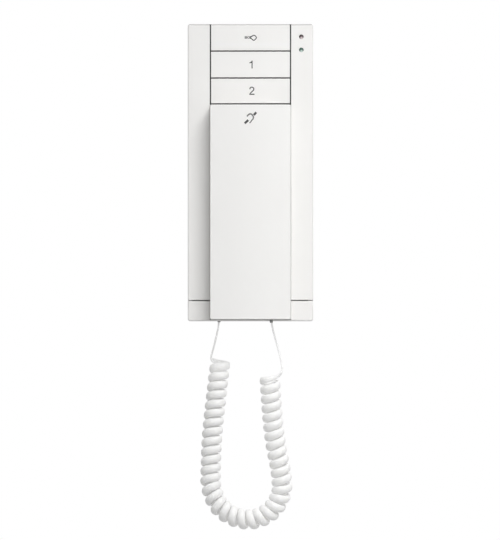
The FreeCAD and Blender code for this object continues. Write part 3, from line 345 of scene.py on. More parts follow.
# %% [markdown]
# Where each lead leaves its plug, a short grey collar of rubber keeps it from kinking. Its grey is also
# painted shade: it stands for the shade where the leads leave the housing and the handset. It is the same
# flattened ring, a little larger than the lead and tapering downwards. The collars sit at the lower ends
# of the housing and of the handset, so each drops a little from the end of its lead.

# %% Collars of the leads
COLLAR_RISES = np.array([1.0, 0.5, 0.0, -0.6, -1.0, -1.2])
COLLAR_SIZES = np.array([0.62, 0.64, 0.63, 0.61, 0.58, 0.56])
BASE_COLLAR_DROP = -0.1
HANDSET_COLLAR_DROP = -1.9


def collar(name, line_end, body):
    """A collar round the end of a lead: rings at the given heights, of the section times their size."""
    line = line_end + place(0, 0, 1.0) * COLLAR_RISES[:, None]
    ways = np.tile([1.0, 0.0, 0.0], (len(line), 1))
    sizes = COLLAR_SIZES[:, None]
    made = swept(name, line, ways, section_across * sizes, section_thick * sizes)
    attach(made, body)
    return made


base_collar = collar("base_collar", base_lead[0] + place(0, 0, BASE_COLLAR_DROP), "housing")
handset_collar = collar("handset_collar", handset_lead[-1] + place(0, 0, HANDSET_COLLAR_DROP), "handset")
print("two collars, each", len(base_collar.data.polygons), "faces")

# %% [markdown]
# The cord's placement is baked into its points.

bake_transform(curly_cord)

# %% [markdown]
# The picture has a clean white ground and no wall shadow. So there is no wall here: the world is white to
# the eye and in reflections, and lights the object evenly at less than half of that strength. A round pale
# floor lies well below, catches the object's shadow and fades out before its rim would show. To the eye
# and in reflections it glows a little, so it looks nearly as pale as the ground, yet it lights the object
# only as a sheet of grey paper would.

# %% World and floor
WORLD_LIGHT = 0.40
FLOOR_HEIGHT = -400.0
FLOOR_RADIUS = 1.4
FLOOR_GLOW = 0.55
FLOOR_TONE = 0.6
FADE_START = 0.25
FADE_END = 0.95
FLOOR_CORNERS = 96


class Socket:
    """An output that can be used in sums: each operator adds the Math node that works it out."""

    def __init__(self, finish, output):
        self.finish = finish
        self.output = output

    def __add__(self, other):
        return self.finish.maths("ADD", self, other)

    def __radd__(self, other):
        return self.finish.maths("ADD", other, self)

    def __sub__(self, other):
        return self.finish.maths("SUBTRACT", self, other)

    def __rsub__(self, other):
        return self.finish.maths("SUBTRACT", other, self)

    def __mul__(self, other):
        return self.finish.maths("MULTIPLY", self, other)

    def __rmul__(self, other):
        return self.finish.maths("MULTIPLY", other, self)

    def __truediv__(self, other):
        return self.finish.maths("DIVIDE", self, other)

    def __pow__(self, other):
        return self.finish.maths("POWER", self, other)

    def __gt__(self, other):
        return self.finish.maths("GREATER_THAN", self, other)

    def __lt__(self, other):
        return self.finish.maths("LESS_THAN", self, other)


class Finish:
    """The nodes of one material, or of the world."""

    def __init__(self, name, world=False):
        self.owner = bpy.data.worlds.new(name) if world else bpy.data.materials.new(name)
        self.owner.use_nodes = True
        self.tree = self.owner.node_tree
        self.tree.nodes.clear()

    def node(self, kind, settings=None, sockets=None, output=0):
        """Adds a node of a kind: first its settings, then the values or links of its sockets."""
        made = self.tree.nodes.new(kind)
        for key, value in (settings or {}).items():
            if key == "stops":
                self.set_stops(made.color_ramp, value)
            else:
                setattr(made, key, value)
        for key, value in (sockets or {}).items():
            if isinstance(value, Socket):
                self.tree.links.new(value.output, made.inputs[key])
            else:
                made.inputs[key].default_value = value
        return Socket(self, made.outputs[output] if made.outputs else None)

    def set_stops(self, ramp, stops):
        """Gives a colour ramp its stops, each a place from 0 to 1 and a grey or a colour."""
        while len(ramp.elements) < len(stops):
            ramp.elements.new(1.0)
        for element, (position, colour) in zip(ramp.elements, stops):
            element.position = position
            element.color = rgba(colour)

    def maths(self, operation, *values):
        """A Math node with the values in their order."""
        return self.node("ShaderNodeMath", {"operation": operation}, dict(enumerate(values)))

    def end(self, shader):
        """Sends the shader to the output."""
        kind = "World" if isinstance(self.owner, bpy.types.World) else "Material"
        self.node("ShaderNodeOutput" + kind, None, {"Surface": shader})
        return self.owner


def rgba(colour):
    """A colour with its alpha, from one grey or three numbers."""
    if isinstance(colour, (int, float)):
        colour = (colour, colour, colour)
    return (*colour, 1.0)


def seen_directly(finish):
    """One for rays from the eye, in mirrors and through glass, and nought for the light on surfaces."""
    names = ("Is Camera Ray", "Is Glossy Ray", "Is Transmission Ray")
    outputs = finish.node("ShaderNodeLightPath").output.node.outputs
    camera_ray, glossy_ray, through_ray = (Socket(finish, outputs[name]) for name in names)
    return finish.maths("MINIMUM", camera_ray + glossy_ray + through_ray, 1.0)


sky = Finish("white_world", world=True)
seen = seen_directly(sky)
strength = seen * (1.0 - WORLD_LIGHT) + WORLD_LIGHT
scene.world = sky.end(sky.node("ShaderNodeBackground", None, {"Color": rgba(1.0), "Strength": strength}))

pale_floor = Finish("pale_floor")
floor_place = pale_floor.node("ShaderNodeTexCoord", None, None, "Object")
floor_reach = pale_floor.node("ShaderNodeVectorMath", {"operation": "LENGTH"}, {0: floor_place}, "Value")
fade_stops = [(FADE_START, 0.0), (FADE_END, 1.0)]
floor_fade = pale_floor.node("ShaderNodeValToRGB", {"stops": fade_stops}, {"Fac": floor_reach / FLOOR_RADIUS})
shaded_floor = pale_floor.node("ShaderNodeMixShader", None, {
    0: seen_directly(pale_floor) * FLOOR_GLOW,
    1: pale_floor.node("ShaderNodeBsdfDiffuse", None, {"Color": rgba(FLOOR_TONE)}),
    2: pale_floor.node("ShaderNodeEmission", None, {"Color": rgba(1.0)}),
})
pale_floor.end(pale_floor.node("ShaderNodeMixShader", None, {
    0: floor_fade,
    1: shaded_floor,
    2: pale_floor.node("ShaderNodeBsdfTransparent"),
}))
turned = 2 * np.pi * np.arange(FLOOR_CORNERS) / FLOOR_CORNERS
floor_points = np.stack([np.cos(turned), np.sin(turned), 0 * turned], axis=1) * FLOOR_RADIUS
floor = mesh_object("floor", floor_points, [list(range(FLOOR_CORNERS))], smooth=False)
floor.location = place(0, 0, FLOOR_HEIGHT)
floor.data.materials.append(pale_floor.owner)
print("world and floor ready")

# %% [markdown]
# The handset throws a soft shadow to its left and downward, so the main lamp is a wide panel to the
# upper right of the eye. How wide it is sets how soft the shadow's edge gets. A faint and narrow panel
# stands to the right of the unit and shines straight back, so the right side is a touch brighter.

# %% Lamps
def panel_lamp(name, target, azimuth, elevation, distance, width, height, power, spread=180.0):
    """A soft panel that faces the target, so many degrees to its right and above it. The distance, the
    width and the height are in metres, and a smaller spread makes a narrower beam."""
    lamp = bpy.data.lights.new(name, "AREA")
    lamp.shape = "RECTANGLE"
    lamp.size = width
    lamp.size_y = height
    lamp.energy = power
    lamp.spread = math.radians(spread)
    holder = bpy.data.objects.new(name, lamp)
    turn, rise = math.radians(azimuth), math.radians(elevation)
    way = np.array([math.sin(turn) * math.cos(rise), -math.cos(turn) * math.cos(rise), math.sin(rise)])
    holder.location = target + way * distance
    holder.rotation_euler = (math.pi / 2 - rise, 0, turn)
    scene.collection.objects.link(holder)
    return holder


panel_lamp(
    "key_lamp", place(0, HOUSING_FRONT, -20), azimuth=22, elevation=42, distance=2.6, width=1.2, height=1.3,
    power=48.0,
)
panel_lamp(
    "side_wash", place(150, HOUSING_FRONT, -60), azimuth=0, elevation=0, distance=1.5, width=0.10, height=1.4,
    power=0.12, spread=22.0,
)
scene.view_settings.view_transform = "Standard"
print("lamps ready")


# %% [markdown]
# The symbols are printed on the keys and on the handset: a key for the door opener, the numbers one and
# two, and an ear with a slanted bar for a hearing aid's coil. Each stroke is a line through a few
# places, with a breadth at each. It becomes a very thin solid that lies on the gently arched front. Where
# strokes of one symbol overlap, each lies a hair above the one before, so no two faces share a place.

# %% Printed symbols
PRINT_DEPTH = 0.02
PRINT_HEIGHT = 0.035
LAYER_RISE = 0.002
SIGN_LINE = 92.75
DIGIT_STROKE = 0.69
SIGN_STROKE = 0.64
EAR_STROKE = 1.0
BAR_STROKE = 1.55


def arched_front(x, front, crown, half_width):
    """How far out an arched front lies: the front plus the crown times (1 - (x / half width)^2)."""
    return front + crown * (1 - (x / half_width) ** 2)


def stroke(points, breadths, samples=1):
    """Both edges of a stroke in x and z: the middle line plus and minus half the breadth, sideways. With
    more than one sample to each point, the line is rounded through its points."""
    middle = smooth_line(np.array(points), samples) if samples > 1 else np.array(points)
    forward = unit(np.gradient(middle, axis=0))
    aside = np.stack([-forward[:, 1], forward[:, 0]], axis=1)
    share = np.linspace(0, 1, len(middle))
    half = np.interp(share, np.linspace(0, 1, len(breadths)), breadths)[:, None] / 2
    return middle + aside * half, middle - aside * half


def printed(name, strokes, arch, body):
    """All the strokes of one symbol as thin solids, each a row of rings with four corners."""
    points = np.zeros((0, 3))
    faces = []
    for level, (left, right) in enumerate(strokes):
        x = np.stack([left[:, 0], right[:, 0], right[:, 0], left[:, 0]], axis=1)
        z = np.stack([left[:, 1], right[:, 1], right[:, 1], left[:, 1]], axis=1)
        rise = PRINT_HEIGHT + LAYER_RISE * level
        lift = np.array([rise, rise, -PRINT_DEPTH, -PRINT_DEPTH])
        rings = place(x, arched_front(x, *arch) + lift, z)
        faces += [[corner + len(points) for corner in face] for face in ring_faces(len(rings), 4)]
        points = np.concatenate([points, rings.reshape(-1, 3)])
    made = mesh_object(name, points, faces, smooth=False)
    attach(made, body)
    return made


HOUSING_ARCH = (HOUSING_FRONT, HOUSING_CROWN, HOUSING_HALF_WIDTH)
HANDSET_ARCH = (HANDSET_FRONT, HANDSET_CROWN, HANDSET_HALF_WIDTH)
BOW = [
    (-0.50, 93.00), (0.45, 93.32), (1.38, 93.82), (2.33, 94.26), (3.23, 93.90), (4.10, 92.64),
    (3.23, 91.38), (2.22, 90.80), (1.25, 91.44), (0.35, 92.12), (-0.50, 92.52),
]
link_turn = np.linspace(0, 2 * np.pi, 17)
link = np.stack([-1.25 + 0.66 * np.cos(link_turn), SIGN_LINE + 0.70 * np.sin(link_turn)], axis=1)
sign_key = printed("sign_key", [
    stroke(BOW, [0.9, SIGN_STROKE, SIGN_STROKE, SIGN_STROKE, 0.9], 5),
], HOUSING_ARCH, "door_key")
sign_bit = printed("sign_bit", [
    stroke(link, [0.52]),
    stroke([(-4.00, SIGN_LINE), (-2.12, SIGN_LINE)], [1.75]),
], HOUSING_ARCH, "door_key")
sign_one = printed("sign_one", [
    stroke([(1.10, 76.86), (1.10, 71.50)], [DIGIT_STROKE]),
    stroke([(1.30, 76.72), (0.80, 75.95), (0.05, 75.52), (-0.70, 75.36)], [0.34, 0.76, 0.72, 0.56], 6),
], HOUSING_ARCH, "key_1")
sign_two = printed("sign_two", [
    stroke([
        (-0.38, 57.20), (-0.22, 58.05), (0.42, 58.56), (1.14, 58.60), (1.94, 58.28), (2.32, 57.52),
        (2.06, 56.62), (1.30, 55.76), (0.40, 54.96), (-0.22, 54.22), (-0.50, 53.72),
    ], [DIGIT_STROKE, DIGIT_STROKE, DIGIT_STROKE, 0.74, 0.6], 5),
    stroke([(-0.80, 53.78), (2.78, 53.78)], [0.74]),
], HOUSING_ARCH, "key_2")
sign_ear = printed("sign_ear", [
    stroke([
        (-2.34, 38.44), (-1.30, 39.62), (-0.17, 40.16), (0.93, 39.74), (1.75, 38.78), (2.06, 37.70),
        (1.68, 36.60), (0.79, 35.62), (0.02, 34.40), (-0.65, 33.86),
    ], [EAR_STROKE, EAR_STROKE, 0.94, 0.84, 0.74], 5),
], HANDSET_ARCH, "handset")
sign_bars = printed("sign_bars", [
    stroke([(-3.90, 33.66), (-1.46, 35.92)], [BAR_STROKE]),
    stroke([(2.36, 39.30), (3.94, 41.26)], [BAR_STROKE]),
], HANDSET_ARCH, "handset")
signs = (sign_key, sign_bit, sign_one, sign_two, sign_ear, sign_bars)
print("faces of the symbols", [len(sign.data.polygons) for sign in signs])


# %% [markdown]
# Moulded plastic is never one flat colour. The mould's skin is eroded by sparks, which leaves a fine
# grain that dulls the gloss, and the melt flows in slow bands that shift the tone a little. Both are
# noise: one at a third of a millimetre for the grain, one at a few centimetres for the flow.

# %% Tools for finishes
def object_place(finish):
    """The point's own place on the object, in metres."""
    return finish.node("ShaderNodeTexCoord", None, None, "Object")


def noise(finish, where, size, detail=2.0):
    """Noise whose lumps are about size millimetres across."""
    sockets = {"Vector": where, "Scale": 1 / (size * MM), "Detail": detail}
    return finish.node("ShaderNodeTexNoise", None, sockets)


def stretched(finish, where, x, y, z):
    """The place with each direction squeezed by a factor, so that noise there gets long the other way."""
    return finish.node("ShaderNodeVectorMath", {"operation": "MULTIPLY"}, {0: where, 1: (x, y, z)})


def millimetres(finish, where):
    """The point's x, its distance out from the wall and its z, each as a number of millimetres."""
    outputs = finish.node("ShaderNodeSeparateXYZ", None, {0: where}).output.node.outputs
    x, y, z = (Socket(finish, output) for output in outputs)
    return x * 1000.0, y * -1000.0, z * 1000.0


def rising(finish, value, low, high):
    """Nought below low, one above high, and a smooth rise between them."""
    sockets = {"Value": value, "From Min": low, "From Max": high}
    return finish.node("ShaderNodeMapRange", {"interpolation_type": "SMOOTHSTEP"}, sockets)


def absolute(value):
    """The value without its sign."""
    return value.finish.maths("ABSOLUTE", value)


def apart(x, z, middle_x, middle_z):
    """Distance in millimetres from a middle, in the plane of the wall."""
    return ((x - middle_x) * (x - middle_x) + (z - middle_z) * (z - middle_z)) ** 0.5


def mixed(finish, share, first, second):
    """A colour between two, by share."""
    colours = [value if isinstance(value, Socket) else rgba(value) for value in (first, second)]
    return finish.node("ShaderNodeMix", {"data_type": "RGBA"}, {0: share, 6: colours[0], 7: colours[1]}, 2)


def bumps(finish, height, depth, before=None):
    """A bump node: height from 0 to 1 stands for depth millimetres."""
    sockets = {"Height": height, "Distance": depth * MM, "Strength": 1.0}
    if before is not None:
        sockets["Normal"] = before
    return finish.node("ShaderNodeBump", None, sockets)


def principled(finish, **sockets):
    """The main shader, with its sockets written with low lines for spaces."""
    named = {key.replace("_", " "): value for key, value in sockets.items()}
    return finish.node("ShaderNodeBsdfPrincipled", None, named)


def dress(material, *names):
    """Gives CAD nodes their finish."""
    for name in names:
        for slot in nodes[name].material_slots:
            slot.material = material


# %% [markdown]
# The white shells share one recipe. Deep in the narrow gaps round the keys and along the parting line
# very little light gets back out, so those walls get painted shade: they turn dark between a tenth and a
# quarter of a millimetre below the arched front. How deep a point lies is the front plus the crown times
# (1 - (x / half width)^2), less its own distance from the wall. The places of the gaps, of the rim and of
# the seam are those of the solid model.
#
# A little painted shade lies on top of the housing, most of it on the front rim, and draws a thin darker
# line there. The low key gets a touch of painted shade too, more towards its lower end. On the handset
# painted shade marks only the fine line where its two shells meet.

# %% White shells
# Tone of the painted shade in the gaps, at the seam and on the top rim.
PAINTED_SHADE_TONE = (0.030, 0.029, 0.028)
DARK_FROM = 0.10
DARK_FULL = 0.26
GAP_REACH = 0.64
GAP_X = 27.475
GAP_HEIGHTS = (83.425, 64.925, 47.05)
KEYS_LOW = 46.5
KEYS_HIGH = 101.9
PARTING_MIDDLE = -87.75
PARTING_REACH = 0.50
PARTING_DEPTH = 2.0
SIDE_WALL_X = 42.85
SEAM_OUT = 31.0
SEAM_INNER = 0.06
SEAM_OUTER = 0.14
RIM_LOW = 100.6
RIM_HIGH = 101.8
RIM_BACK = 24.5
RIM_FRONT = 27.2
# Shares of the painted shade on the front rim and on the top.
RIM_PAINTED_SHADE = 0.32
TOP_PAINTED_SHADE = 0.10
LOW_KEY_REACH = 24.0
LOW_KEY_SHADE = 0.10
MARK_RISE = 0.15
PIN_STEP_X = 22.0
PIN_STEP_Z = 31.0
PIN_RADIUS = 3.0


def painted_gap_shade(finish, where):
    """Painted shade: one on walls deep in the gaps round the keys and along the parting line, else nought."""
    x, out, z = millimetres(finish, where)
    front = HOUSING_FRONT + HOUSING_CROWN - x * x * (HOUSING_CROWN / HOUSING_HALF_WIDTH ** 2)
    deep = rising(finish, front - out, DARK_FROM, DARK_FULL)
    upright = (absolute(absolute(x) - GAP_X) < GAP_REACH) * (z > KEYS_LOW) * (z < KEYS_HIGH)
    parting = (absolute(z - PARTING_MIDDLE) < PARTING_REACH) * (front - out < PARTING_DEPTH)
    across = parting * (absolute(x) < SIDE_WALL_X)
    for height in GAP_HEIGHTS:
        across = across + (absolute(z - height) < GAP_REACH) * (absolute(x) < GAP_X)
    return deep * finish.maths("MINIMUM", upright + across, 1.0)


def housing_shade(finish, where):
    """The gaps' painted shade, and a small painted shade on the top, most of it along the front rim."""
    x, out, z = millimetres(finish, where)
    front_rim = rising(finish, out, RIM_BACK, RIM_FRONT)
    # Painted shade along the top of the housing, strongest on its front rim.
    rim_painted_shade = rising(finish, z, RIM_LOW, RIM_HIGH) * (front_rim * RIM_PAINTED_SHADE + TOP_PAINTED_SHADE)
    return finish.maths("MAXIMUM", painted_gap_shade(finish, where), rim_painted_shade)


def key_shade(finish, where):
    """The housing's painted shade, and a small painted shade that grows down the low key. Light which the
    handset's top throws back would make that key brighter than in the picture."""
    x, out, z = millimetres(finish, where)
    # Painted shade that grows towards the lower end of the low key.
    low = (1.0 - rising(finish, z, KEYS_LOW, KEYS_LOW + LOW_KEY_REACH)) * LOW_KEY_SHADE
    return finish.maths("MAXIMUM", housing_shade(finish, where), low)


def seam_painted_shade(finish, where):
    """Painted shade: the fine dark line round the handset where its two shells meet."""
    x, out, z = millimetres(finish, where)
    return 1.0 - rising(finish, absolute(out - SEAM_OUT), SEAM_INNER, SEAM_OUTER)


def moulded_plastic(name, light, dark, roughness, grain, grain_depth, flow=35.0, shade=None, marks=None):
    """Plastic with a spark-eroded skin. Light and dark are the tones that the flow bands run between. Grain
    and flow are the sizes of the skin's and the bands' lumps, shade gives the share of the painted shade
    tone, and marks gives the height of raised marks."""
    finish = Finish(name)
    where = object_place(finish)
    band = noise(finish, where, flow, 3.0)
    skin = noise(finish, where, grain, 3.0)
    rough = roughness + (band - 0.5) * 0.10 + (skin - 0.5) * 0.12
    colour = mixed(finish, band, dark, light)
    # Painted shade: the shade function's share darkens the colour towards the dark shade tone.
    if shade is not None:
        colour = mixed(finish, shade(finish, where), colour, PAINTED_SHADE_TONE)
    normal = bumps(finish, skin, grain_depth)
    if marks is not None:
        normal = bumps(finish, marks(finish, where), MARK_RISE, normal)
    return finish.end(principled(finish, Base_Color=colour, Roughness=rough, IOR=1.5, Normal=normal))


def mould_marks(finish, where):
    """Raised rings that the mould's ejector pins leave on the plate's back, on an even grid."""
    x, out, z = millimetres(finish, where)
    cell_x = (finish.maths("FRACT", x / PIN_STEP_X + 0.5) - 0.5) * PIN_STEP_X
    cell_z = (finish.maths("FRACT", z / PIN_STEP_Z + 0.5) - 0.5) * PIN_STEP_Z
    away = apart(cell_x, cell_z, 0.0, 0.0)
    ring = 1.0 - rising(finish, absolute(away - PIN_RADIUS), 0.15, 0.30)
    return ring * (out < 0.5)


housing_white = moulded_plastic(
    "housing_white", (0.875, 0.868, 0.853), (0.855, 0.848, 0.832), 0.42, 0.30, 0.010, shade=housing_shade
)
key_white = moulded_plastic(
    "key_white", (0.878, 0.872, 0.857), (0.858, 0.851, 0.836), 0.38, 0.28, 0.008, shade=key_shade
)
handset_white = moulded_plastic(
    "handset_white", (0.893, 0.888, 0.874), (0.876, 0.870, 0.855), 0.34, 0.26, 0.006, shade=seam_painted_shade
)
plate_grey = moulded_plastic(
    "plate_grey", (0.66, 0.655, 0.64), (0.60, 0.595, 0.58), 0.55, 0.45, 0.02, marks=mould_marks
)
dress(housing_white, "front_housing", "bottom_cover")
dress(key_white, "key_door", "key_one", "key_two")
dress(handset_white, "handset_front_shell", "handset_back_shell")
dress(plate_grey, "wall_plate", "hook_plunger")
print("white shells ready")

# %% [markdown]
# The cord's jacket is soft white plastic. Light goes a little way into it, and handling leaves it faintly
# wavy. Where the cord hangs alone, much light passes right through it. A faint glow of painted light stands
# for that and lifts the parts in shade: full on the thin leads and on the upper part of the left strand,
# which hangs in the handset's shadow, and on the rest of the coil about half, a little less on the left,
# away from the main lamp, than on the right.

# %% Cord jacket
# Strengths of the glow, which is painted light.
JACKET_PAINTED_LIGHT = 0.23
COIL_PAINTED_LIGHT_LEFT = 0.41
COIL_PAINTED_LIGHT_RIGHT = 0.58
COIL_LEFT = -24.0
COIL_RIGHT = 16.0
LEAD_END = -132.5
LEAD_START = -130.0
LEAD_SLANT = 0.24
TOP_LEFT = -8.0
TOP_LEFT_END = -150.0
TOP_LEFT_START = -122.0


def soft_jacket(name, light, dark, roughness):
    """Soft jacket: light and dark are the tones that slow noise runs between. The leads are told from the
    coil by their height, along a line that slants a little with x."""
    finish = Finish(name)
    where = object_place(finish)
    band = noise(finish, where, 12.0)
    skin = noise(finish, where, 0.6)
    waves = noise(finish, where, 3.0)
    x, out, z = millimetres(finish, where)
    # Painted light: the glow is full on the leads and on the shaded top of the left strand, weaker on the
    # coil.
    leads = rising(finish, z + x * LEAD_SLANT, LEAD_END, LEAD_START)
    shaded_top_left = rising(finish, z, TOP_LEFT_END, TOP_LEFT_START) * (x < TOP_LEFT)
    full_painted_light = finish.maths("MAXIMUM", leads, shaded_top_left)
    coil_painted_light = mixed(finish, rising(finish, x, COIL_LEFT, COIL_RIGHT), COIL_PAINTED_LIGHT_LEFT, COIL_PAINTED_LIGHT_RIGHT)
    return finish.end(principled(
        finish, Base_Color=mixed(finish, band, dark, light), Roughness=roughness + (skin - 0.5) * 0.15,
        Normal=bumps(finish, skin, 0.012, bumps(finish, waves, 0.10)), Subsurface_Weight=0.7,
        Subsurface_Radius=(1.0, 1.0, 0.95), Subsurface_Scale=0.004, IOR=1.52,
        Emission_Color=mixed(finish, full_painted_light, coil_painted_light, 1.0), Emission_Strength=JACKET_PAINTED_LIGHT,
    ))


cord_white = soft_jacket("cord_white", (0.782, 0.780, 0.773), (0.762, 0.760, 0.753), 0.58)
curly_cord.data.materials.append(cord_white)
print("cord jacket ready")

# %% [markdown]
# Ink is dark grey and a little thinner here and there. The indicator lamps are tinted light pipes: from
# the front they look nearly black, with a painted highlight low down: a pale spot that stands for the room's
# light shining through the tint. The distance from that spot, set off from the pipe's middle, decides the
# tone.

# %% Ink and indicator lamps
LAMP_X = 34.925
RED_LAMP_Z = 93.3
GREEN_LAMP_Z = 84.3
SPOT_ASIDE = 0.15
SPOT_BELOW = 1.0
SPOT_INNER = 0.40
SPOT_OUTER = 1.38
PIPE_FRONT = 20.0


def ink(name, tone, worn):
    """Printing ink: noise of a fifth of a millimetre lets a little of the worn tone through."""
    finish = Finish(name)
    where = object_place(finish)
    specks = noise(finish, where, 0.2, 3.0)
    return finish.end(principled(
        finish, Base_Color=mixed(finish, rising(finish, specks, 0.35, 0.85), tone, worn),
        Roughness=0.5 + (specks - 0.5) * 0.2, Normal=bumps(finish, specks, 0.004), IOR=1.5,
    ))


def tinted_pipe(name, dark, pale, middle_z):
    """A light pipe: dark tint, and the pale tone in the painted highlight, with a hazy rim between the two.
    """
    finish = Finish(name)
    where = object_place(finish)
    x, out, z = millimetres(finish, where)
    away = apart(x, z, LAMP_X + SPOT_ASIDE, middle_z - SPOT_BELOW)
    haze = noise(finish, where, 0.5)
    # Painted highlight: a pale spot low in the pipe, round its set-off middle.
    painted_highlight = 1.0 - rising(finish, away + (haze - 0.5) * 0.2, SPOT_INNER, SPOT_OUTER)
    share = painted_highlight * (out > PIPE_FRONT)
    return finish.end(principled(
        finish, Base_Color=mixed(finish, share, dark, pale), Roughness=0.14 + haze * 0.06,
        Normal=bumps(finish, haze, 0.01), IOR=1.49,
    ))


dark_ink = ink("dark_ink", (0.014, 0.014, 0.015), (0.05, 0.05, 0.05))
grey_ink = ink("grey_ink", (0.14, 0.14, 0.138), (0.21, 0.21, 0.205))
pale_ink = ink("pale_ink", (0.25, 0.25, 0.245), (0.33, 0.33, 0.325))
half_ink = ink("half_ink", (0.040, 0.040, 0.040), (0.08, 0.08, 0.08))
sign_key.data.materials.append(half_ink)
sign_bit.data.materials.append(pale_ink)
sign_one.data.materials.append(dark_ink)
sign_two.data.materials.append(dark_ink)
sign_ear.data.materials.append(grey_ink)
sign_bars.data.materials.append(half_ink)
red_pipe = tinted_pipe("red_pipe", (0.058, 0.038, 0.042), (0.74, 0.62, 0.63), RED_LAMP_Z)
green_pipe = tinted_pipe("green_pipe", (0.040, 0.098, 0.075), (0.62, 0.76, 0.70), GREEN_LAMP_Z)
dress(red_pipe, "light_pipe_red")
dress(green_pipe, "light_pipe_green")
print("ink and lamps ready")

# %% [markdown]
# The parts inside are only seen when the station is taken apart, yet each gets its own finish. Metals
# first: zinc plating shows cloudy grains of slightly different brightness, made as cells round scattered
# points, and fine scratches from the tumbling drum, which are noise stretched one way.

# %% Metals
def plated_metal(name, light, dark, roughness, grain, scratch=(0.1, 1.0, 1.0)):
    """Plated metal: cloudy grains between two tones, with scratches along the squeezed direction."""
    finish = Finish(name)
    where = object_place(finish)
    cells = finish.node("ShaderNodeTexVoronoi", None, {"Vector": where, "Scale": 1 / (grain * MM)}, "Color")
    cloud = finish.node("ShaderNodeSeparateColor", None, {0: cells})
    lines = noise(finish, stretched(finish, where, *scratch), 0.12, 3.0)
    return finish.end(principled(
        finish, Base_Color=mixed(finish, cloud, dark, light), Metallic=1.0,
        Roughness=roughness + (cloud - 0.5) * 0.12 + (lines - 0.5) * 0.15, Normal=bumps(finish, lines, 0.004),
    ))


bright_zinc = plated_metal("bright_zinc", (0.66, 0.66, 0.67), (0.56, 0.56, 0.57), 0.30, 0.8)
nickel = plated_metal("nickel", (0.70, 0.685, 0.65), (0.63, 0.615, 0.58), 0.16, 2.5, (1.0, 1.0, 0.1))
spring_steel = plated_metal(
    "spring_steel", (0.58, 0.57, 0.55), (0.48, 0.47, 0.46), 0.26, 0.5, (1.0, 0.1, 1.0)
)
dress(bright_zinc, "board_screws", "terminal_screws", "handset_screws", "handset_board_screws", "lock_screw")
dress(nickel, "cradle_magnets", "ringer_magnet", "microphone_capsule")
dress(spring_steel, "hook_spring", "keeper_plates")
print("metals ready")

# %% [markdown]
# A circuit board is green lacquer over copper. Copper tracks run upright in some fields and across in
# others: a field of 6.35 mm gets a random number, and stripes every 1.27 mm are drawn by it. Between the
# two limits a field stays empty. Round tinned pads sit at some of the crossings of a 2.54 mm grid, the
# usual pitch of electronics.

# %% Circuit boards
FIELD = 6.35
PITCH = 1.27
PAD_PITCH = 2.54
PAD_RADIUS = 0.55
PADS_ABOVE = 0.8
TRACK_HALF = 0.16
TRACK_EDGE = 0.22
UPRIGHT_BELOW = 0.42
ACROSS_ABOVE = 0.58


def random_number(finish, x, z, size):
    """One random number for each square field of the given size."""
    corner = finish.node("ShaderNodeCombineXYZ", None, {
        0: finish.maths("FLOOR", x / size), 1: finish.maths("FLOOR", z / size),
    })
    return finish.node("ShaderNodeTexWhiteNoise", {"noise_dimensions": "3D"}, {"Vector": corner}, "Value")


def beside(finish, value, pitch):
    """Distance in millimetres from the nearest of a row of lines at a pitch."""
    return absolute(finish.maths("FRACT", value / pitch + 0.5) - 0.5) * pitch


def circuit_board(name):
    """Green lacquer with raised tracks below it, and bare tinned pads."""
    finish = Finish(name)
    where = object_place(finish)
    x, out, z = millimetres(finish, where)
    choice = random_number(finish, x, z, FIELD)
    upright = 1.0 - rising(finish, beside(finish, x, PITCH), TRACK_HALF, TRACK_EDGE)
    across = 1.0 - rising(finish, beside(finish, z, PITCH), TRACK_HALF, TRACK_EDGE)
    tracks = finish.maths("MAXIMUM", upright * (choice < UPRIGHT_BELOW), across * (choice > ACROSS_ABOVE))
    pad_x, pad_z = beside(finish, x, PAD_PITCH), beside(finish, z, PAD_PITCH)
    pad_choice = random_number(finish, x + PITCH, z + PITCH, PAD_PITCH)
    pads = (apart(pad_x, pad_z, 0.0, 0.0) < PAD_RADIUS) * (pad_choice > PADS_ABOVE)
    raised = finish.maths("MAXIMUM", tracks, pads)
    weave = noise(finish, stretched(finish, where, 1.0, 1.0, 0.4), 0.7)
    lacquer = mixed(finish, weave, (0.018, 0.105, 0.045), (0.026, 0.135, 0.058))
    colour = mixed(finish, tracks, lacquer, (0.045, 0.215, 0.085))
    return finish.end(principled(
        finish, Base_Color=mixed(finish, pads, colour, (0.62, 0.60, 0.56)), Metallic=pads,
        Roughness=0.34 + (weave - 0.5) * 0.2, Normal=bumps(finish, raised, 0.035), IOR=1.5,
    ))


dress(circuit_board("board_green"), "main_board", "handset_board")
print("boards ready")

# %% [markdown]
# The remaining parts are plastics and rubbers of several kinds, told apart by tone, gloss and grain. The
# capacitors have a dark sleeve with a pale stripe down one side and a bare metal top with a cross
# pressed into it. The coil for hearing aids shows its rings of copper wire, and of each pair of wires one
# is red and one is black.

# %% Electronic parts
CAPACITOR_X = 22.0
CAPACITOR_Z = (26.0, 37.0)
CAPACITOR_TOP = 16.3
STRIPE_FROM = 2.9
STRIPE_HALF = 2.6
DASH_PITCH = 3.0
DASH_HALF_LENGTH = 0.9
DASH_HALF_WIDTH = 0.35
COIL_MIDDLE_Z = 24.0
WIRE_PITCH = 0.22
RESIN_RADIUS = 1.0
RESIN_BLUR = 0.05
RESIN_OUT = 9.5


